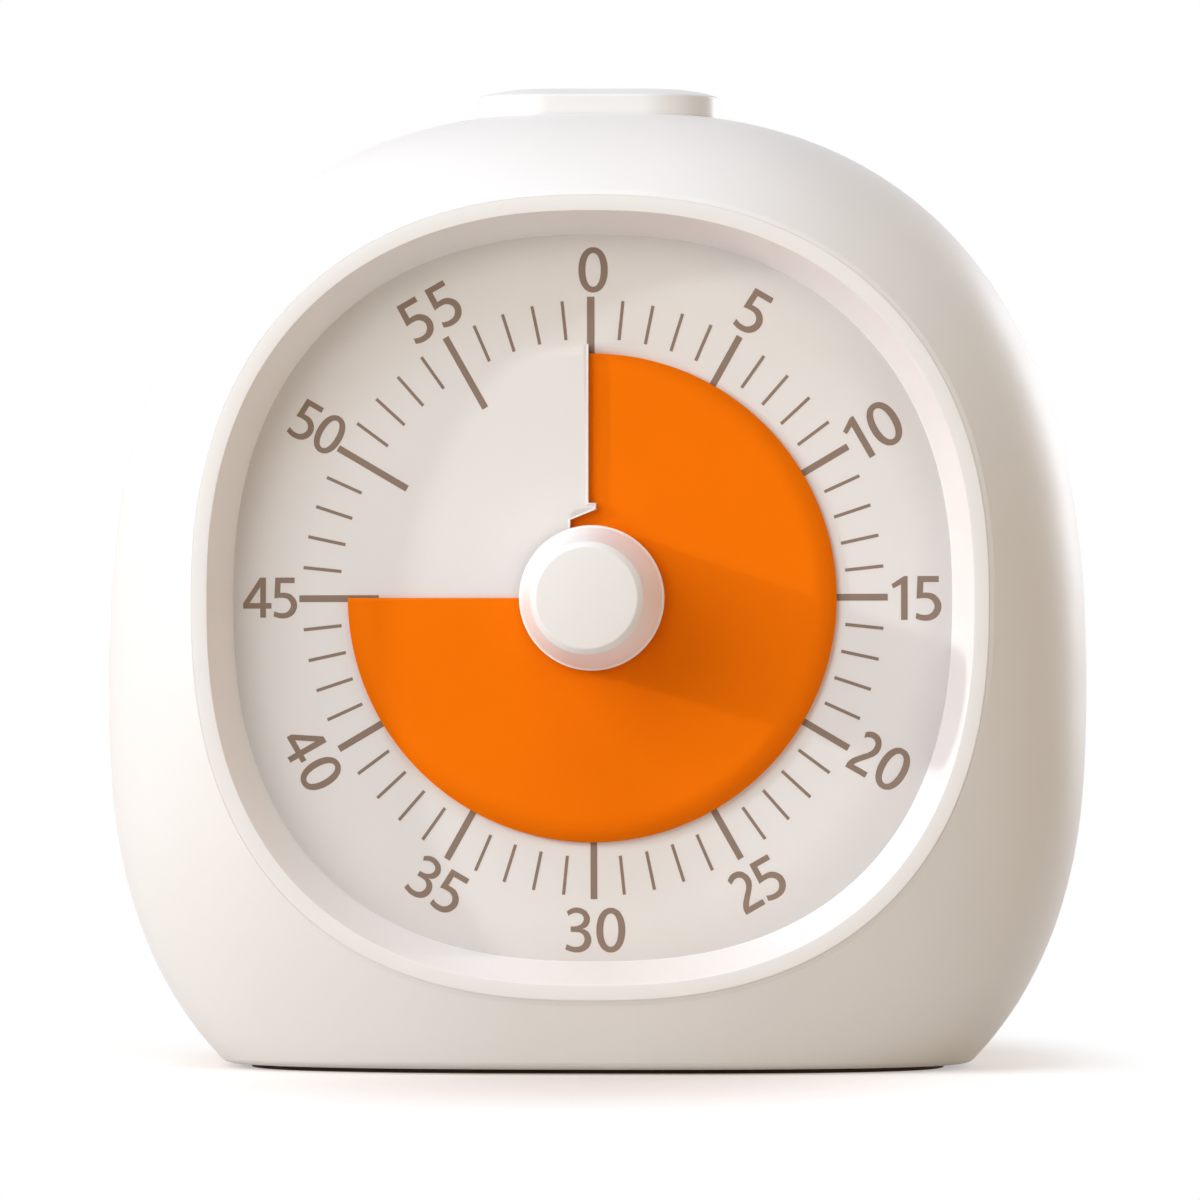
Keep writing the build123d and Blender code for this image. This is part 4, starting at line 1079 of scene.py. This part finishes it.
def makeFloor():
    bm = bmesh.new()
    bmesh.ops.create_circle(
        bm, cap_ends=True, segments=studio["floorSegments"], radius=studio["floorRadius"]
    )
    mesh = bpy.data.meshes.new("studioFloor")
    bm.to_mesh(mesh)
    bm.free()
    floor = bpy.data.objects.new("studioFloor", mesh)
    bpy.context.scene.collection.objects.link(floor)
    material, nodes, links = newMaterial("floorPaper")
    nodes.remove(nodes["Principled BSDF"])
    output = nodes["Material Output"]
    paper = addNode(nodes, "ShaderNodeBsdfDiffuse", {"Color": studio["floorColour"]})
    glow = addNode(nodes, "ShaderNodeEmission")
    white = addNode(nodes, "ShaderNodeEmission", {"Strength": 1.0})
    level = addNode(nodes, "ShaderNodeMath", operation="MULTIPLY")
    level.inputs[1].default_value = studio["floorGlow"]
    seen = seenDirectly(nodes, links)
    links.new(seen, level.inputs[0])
    links.new(level.outputs[0], glow.inputs["Strength"])
    near = addNode(nodes, "ShaderNodeAddShader")
    links.new(paper.outputs[0], near.inputs[0])
    links.new(glow.outputs[0], near.inputs[1])
    place = addNode(nodes, "ShaderNodeTexCoord")
    narrow = addNode(nodes, "ShaderNodeMapping")
    narrow.inputs["Scale"].default_value = (1, studio["depthShare"], 1)
    reach = addNode(nodes, "ShaderNodeVectorMath", operation="LENGTH")
    links.new(place.outputs["Object"], narrow.inputs["Vector"])
    links.new(narrow.outputs["Vector"], reach.inputs[0])
    # painted shade: close to the timer the paper's glow is dimmed and warmed, a painted contact shadow
    clear = addNode(nodes, "ShaderNodeMapRange")
    clear.inputs["From Min"].default_value = studio["paintedShadeStart"]
    clear.inputs["From Max"].default_value = studio["paintedShadeEnd"]
    links.new(reach.outputs["Value"], clear.inputs["Value"])
    ends = [(0, studio["paintedShadeGlow"]), (1, studio["clearGlow"])]
    links.new(shades(nodes, links, clear.outputs["Result"], ends), glow.inputs["Color"])
    # further out the paper fades into the white background
    fade = addNode(nodes, "ShaderNodeMapRange", interpolation_type="SMOOTHSTEP")
    fade.inputs["From Min"].default_value = studio["fadeStart"]
    fade.inputs["From Max"].default_value = studio["fadeEnd"]
    links.new(reach.outputs["Value"], fade.inputs["Value"])
    share = addNode(nodes, "ShaderNodeMath", operation="MULTIPLY")
    links.new(fade.outputs["Result"], share.inputs[0])
    links.new(seen, share.inputs[1])
    blend = addNode(nodes, "ShaderNodeMixShader")
    links.new(share.outputs[0], blend.inputs["Fac"])
    links.new(near.outputs[0], blend.inputs[1])
    links.new(white.outputs[0], blend.inputs[2])
    links.new(blend.outputs[0], output.inputs["Surface"])
    mesh.materials.append(material)


def makeWorld():
    world = bpy.data.worlds.new("studioWorld")
    world.use_nodes = True
    nodes, links = world.node_tree.nodes, world.node_tree.links
    backing = nodes["Background"]
    seen = seenDirectly(nodes, links)
    soft = addNode(nodes, "ShaderNodeBackground", {"Color": studio["ambient"]})
    soft.inputs["Strength"].default_value = studio["ambientStrength"]
    backing.inputs["Color"].default_value = (1, 1, 1, 1)
    backing.inputs["Strength"].default_value = 1.0
    blend = addNode(nodes, "ShaderNodeMixShader")
    links.new(seen, blend.inputs["Fac"])
    links.new(soft.outputs[0], blend.inputs[1])
    links.new(backing.outputs[0], blend.inputs[2])
    links.new(blend.outputs[0], nodes["World Output"].inputs["Surface"])
    bpy.context.scene.world = world


def softLight(name, direction, size, level, colour):
    # round lamp aimed at the dial; level is what a white surface facing it would render as
    distance = studio["lampDistance"]
    light = bpy.data.lights.new(name, "AREA")
    light.shape = "ELLIPSE"
    light.size = light.size_y = size
    light.energy = level * math.pi**2 * distance**2
    light.color = colour
    lamp = bpy.data.objects.new(name, light)
    bpy.context.scene.collection.objects.link(lamp)
    away = Vector(direction).normalized()
    lamp.location = Vector((0, 0, dialHeight)) + away * distance
    lamp.rotation_euler = (-away).to_track_quat("-Z", "Y").to_euler()
    return lamp


# name, direction from the dial, size, level, colour
lamps = [
    ("keyLight", (-0.9, -0.31, 0.285), 0.035, 0.34, (1.0, 1.0, 1.0)),
    ("frontLight", (-0.6, -0.7, 0.38), 0.6, 0.50, (0.95, 0.98, 1.0)),
    ("topLight", (-0.15, -0.35, 1.0), 0.5, 0.44, (0.60, 0.78, 1.0)),
    ("rimLight", (0.6, 0.8, 0.2), 0.4, 0.34, (0.84, 0.90, 1.0)),
    ("fillLight", (0.75, -0.65, 0.2), 0.6, 0.16, (1.0, 0.92, 0.62)),
]
camera = {
    "distance": 0.900,
    "azimuth": 2.1,
    "height": 45.8 * mm,
    "across": 0.17 * mm,
    "lens": 274.1,
    "sensor": 36,
    "clipStart": 0.05,
    "clipEnd": 20,
}


def makeCamera():
    data = bpy.data.cameras.new("viewCamera")
    data.sensor_width = camera["sensor"]
    data.lens = camera["lens"]
    data.clip_start, data.clip_end = camera["clipStart"], camera["clipEnd"]
    view = bpy.data.objects.new("viewCamera", data)
    bpy.context.scene.collection.objects.link(view)
    turn = math.radians(camera["azimuth"])
    back = Vector((math.sin(turn), -math.cos(turn), 0))
    view.location = Vector((camera["across"], 0, camera["height"])) + back * camera["distance"]
    view.rotation_euler = (math.pi / 2, 0, turn)
    bpy.context.scene.camera = view


makeFloor()
makeWorld()
for lamp in lamps:
    softLight(*lamp)
makeCamera()
bpy.context.scene.view_settings.view_transform = "Standard"
print("studio ready")

bpy.context.view_layer.update()
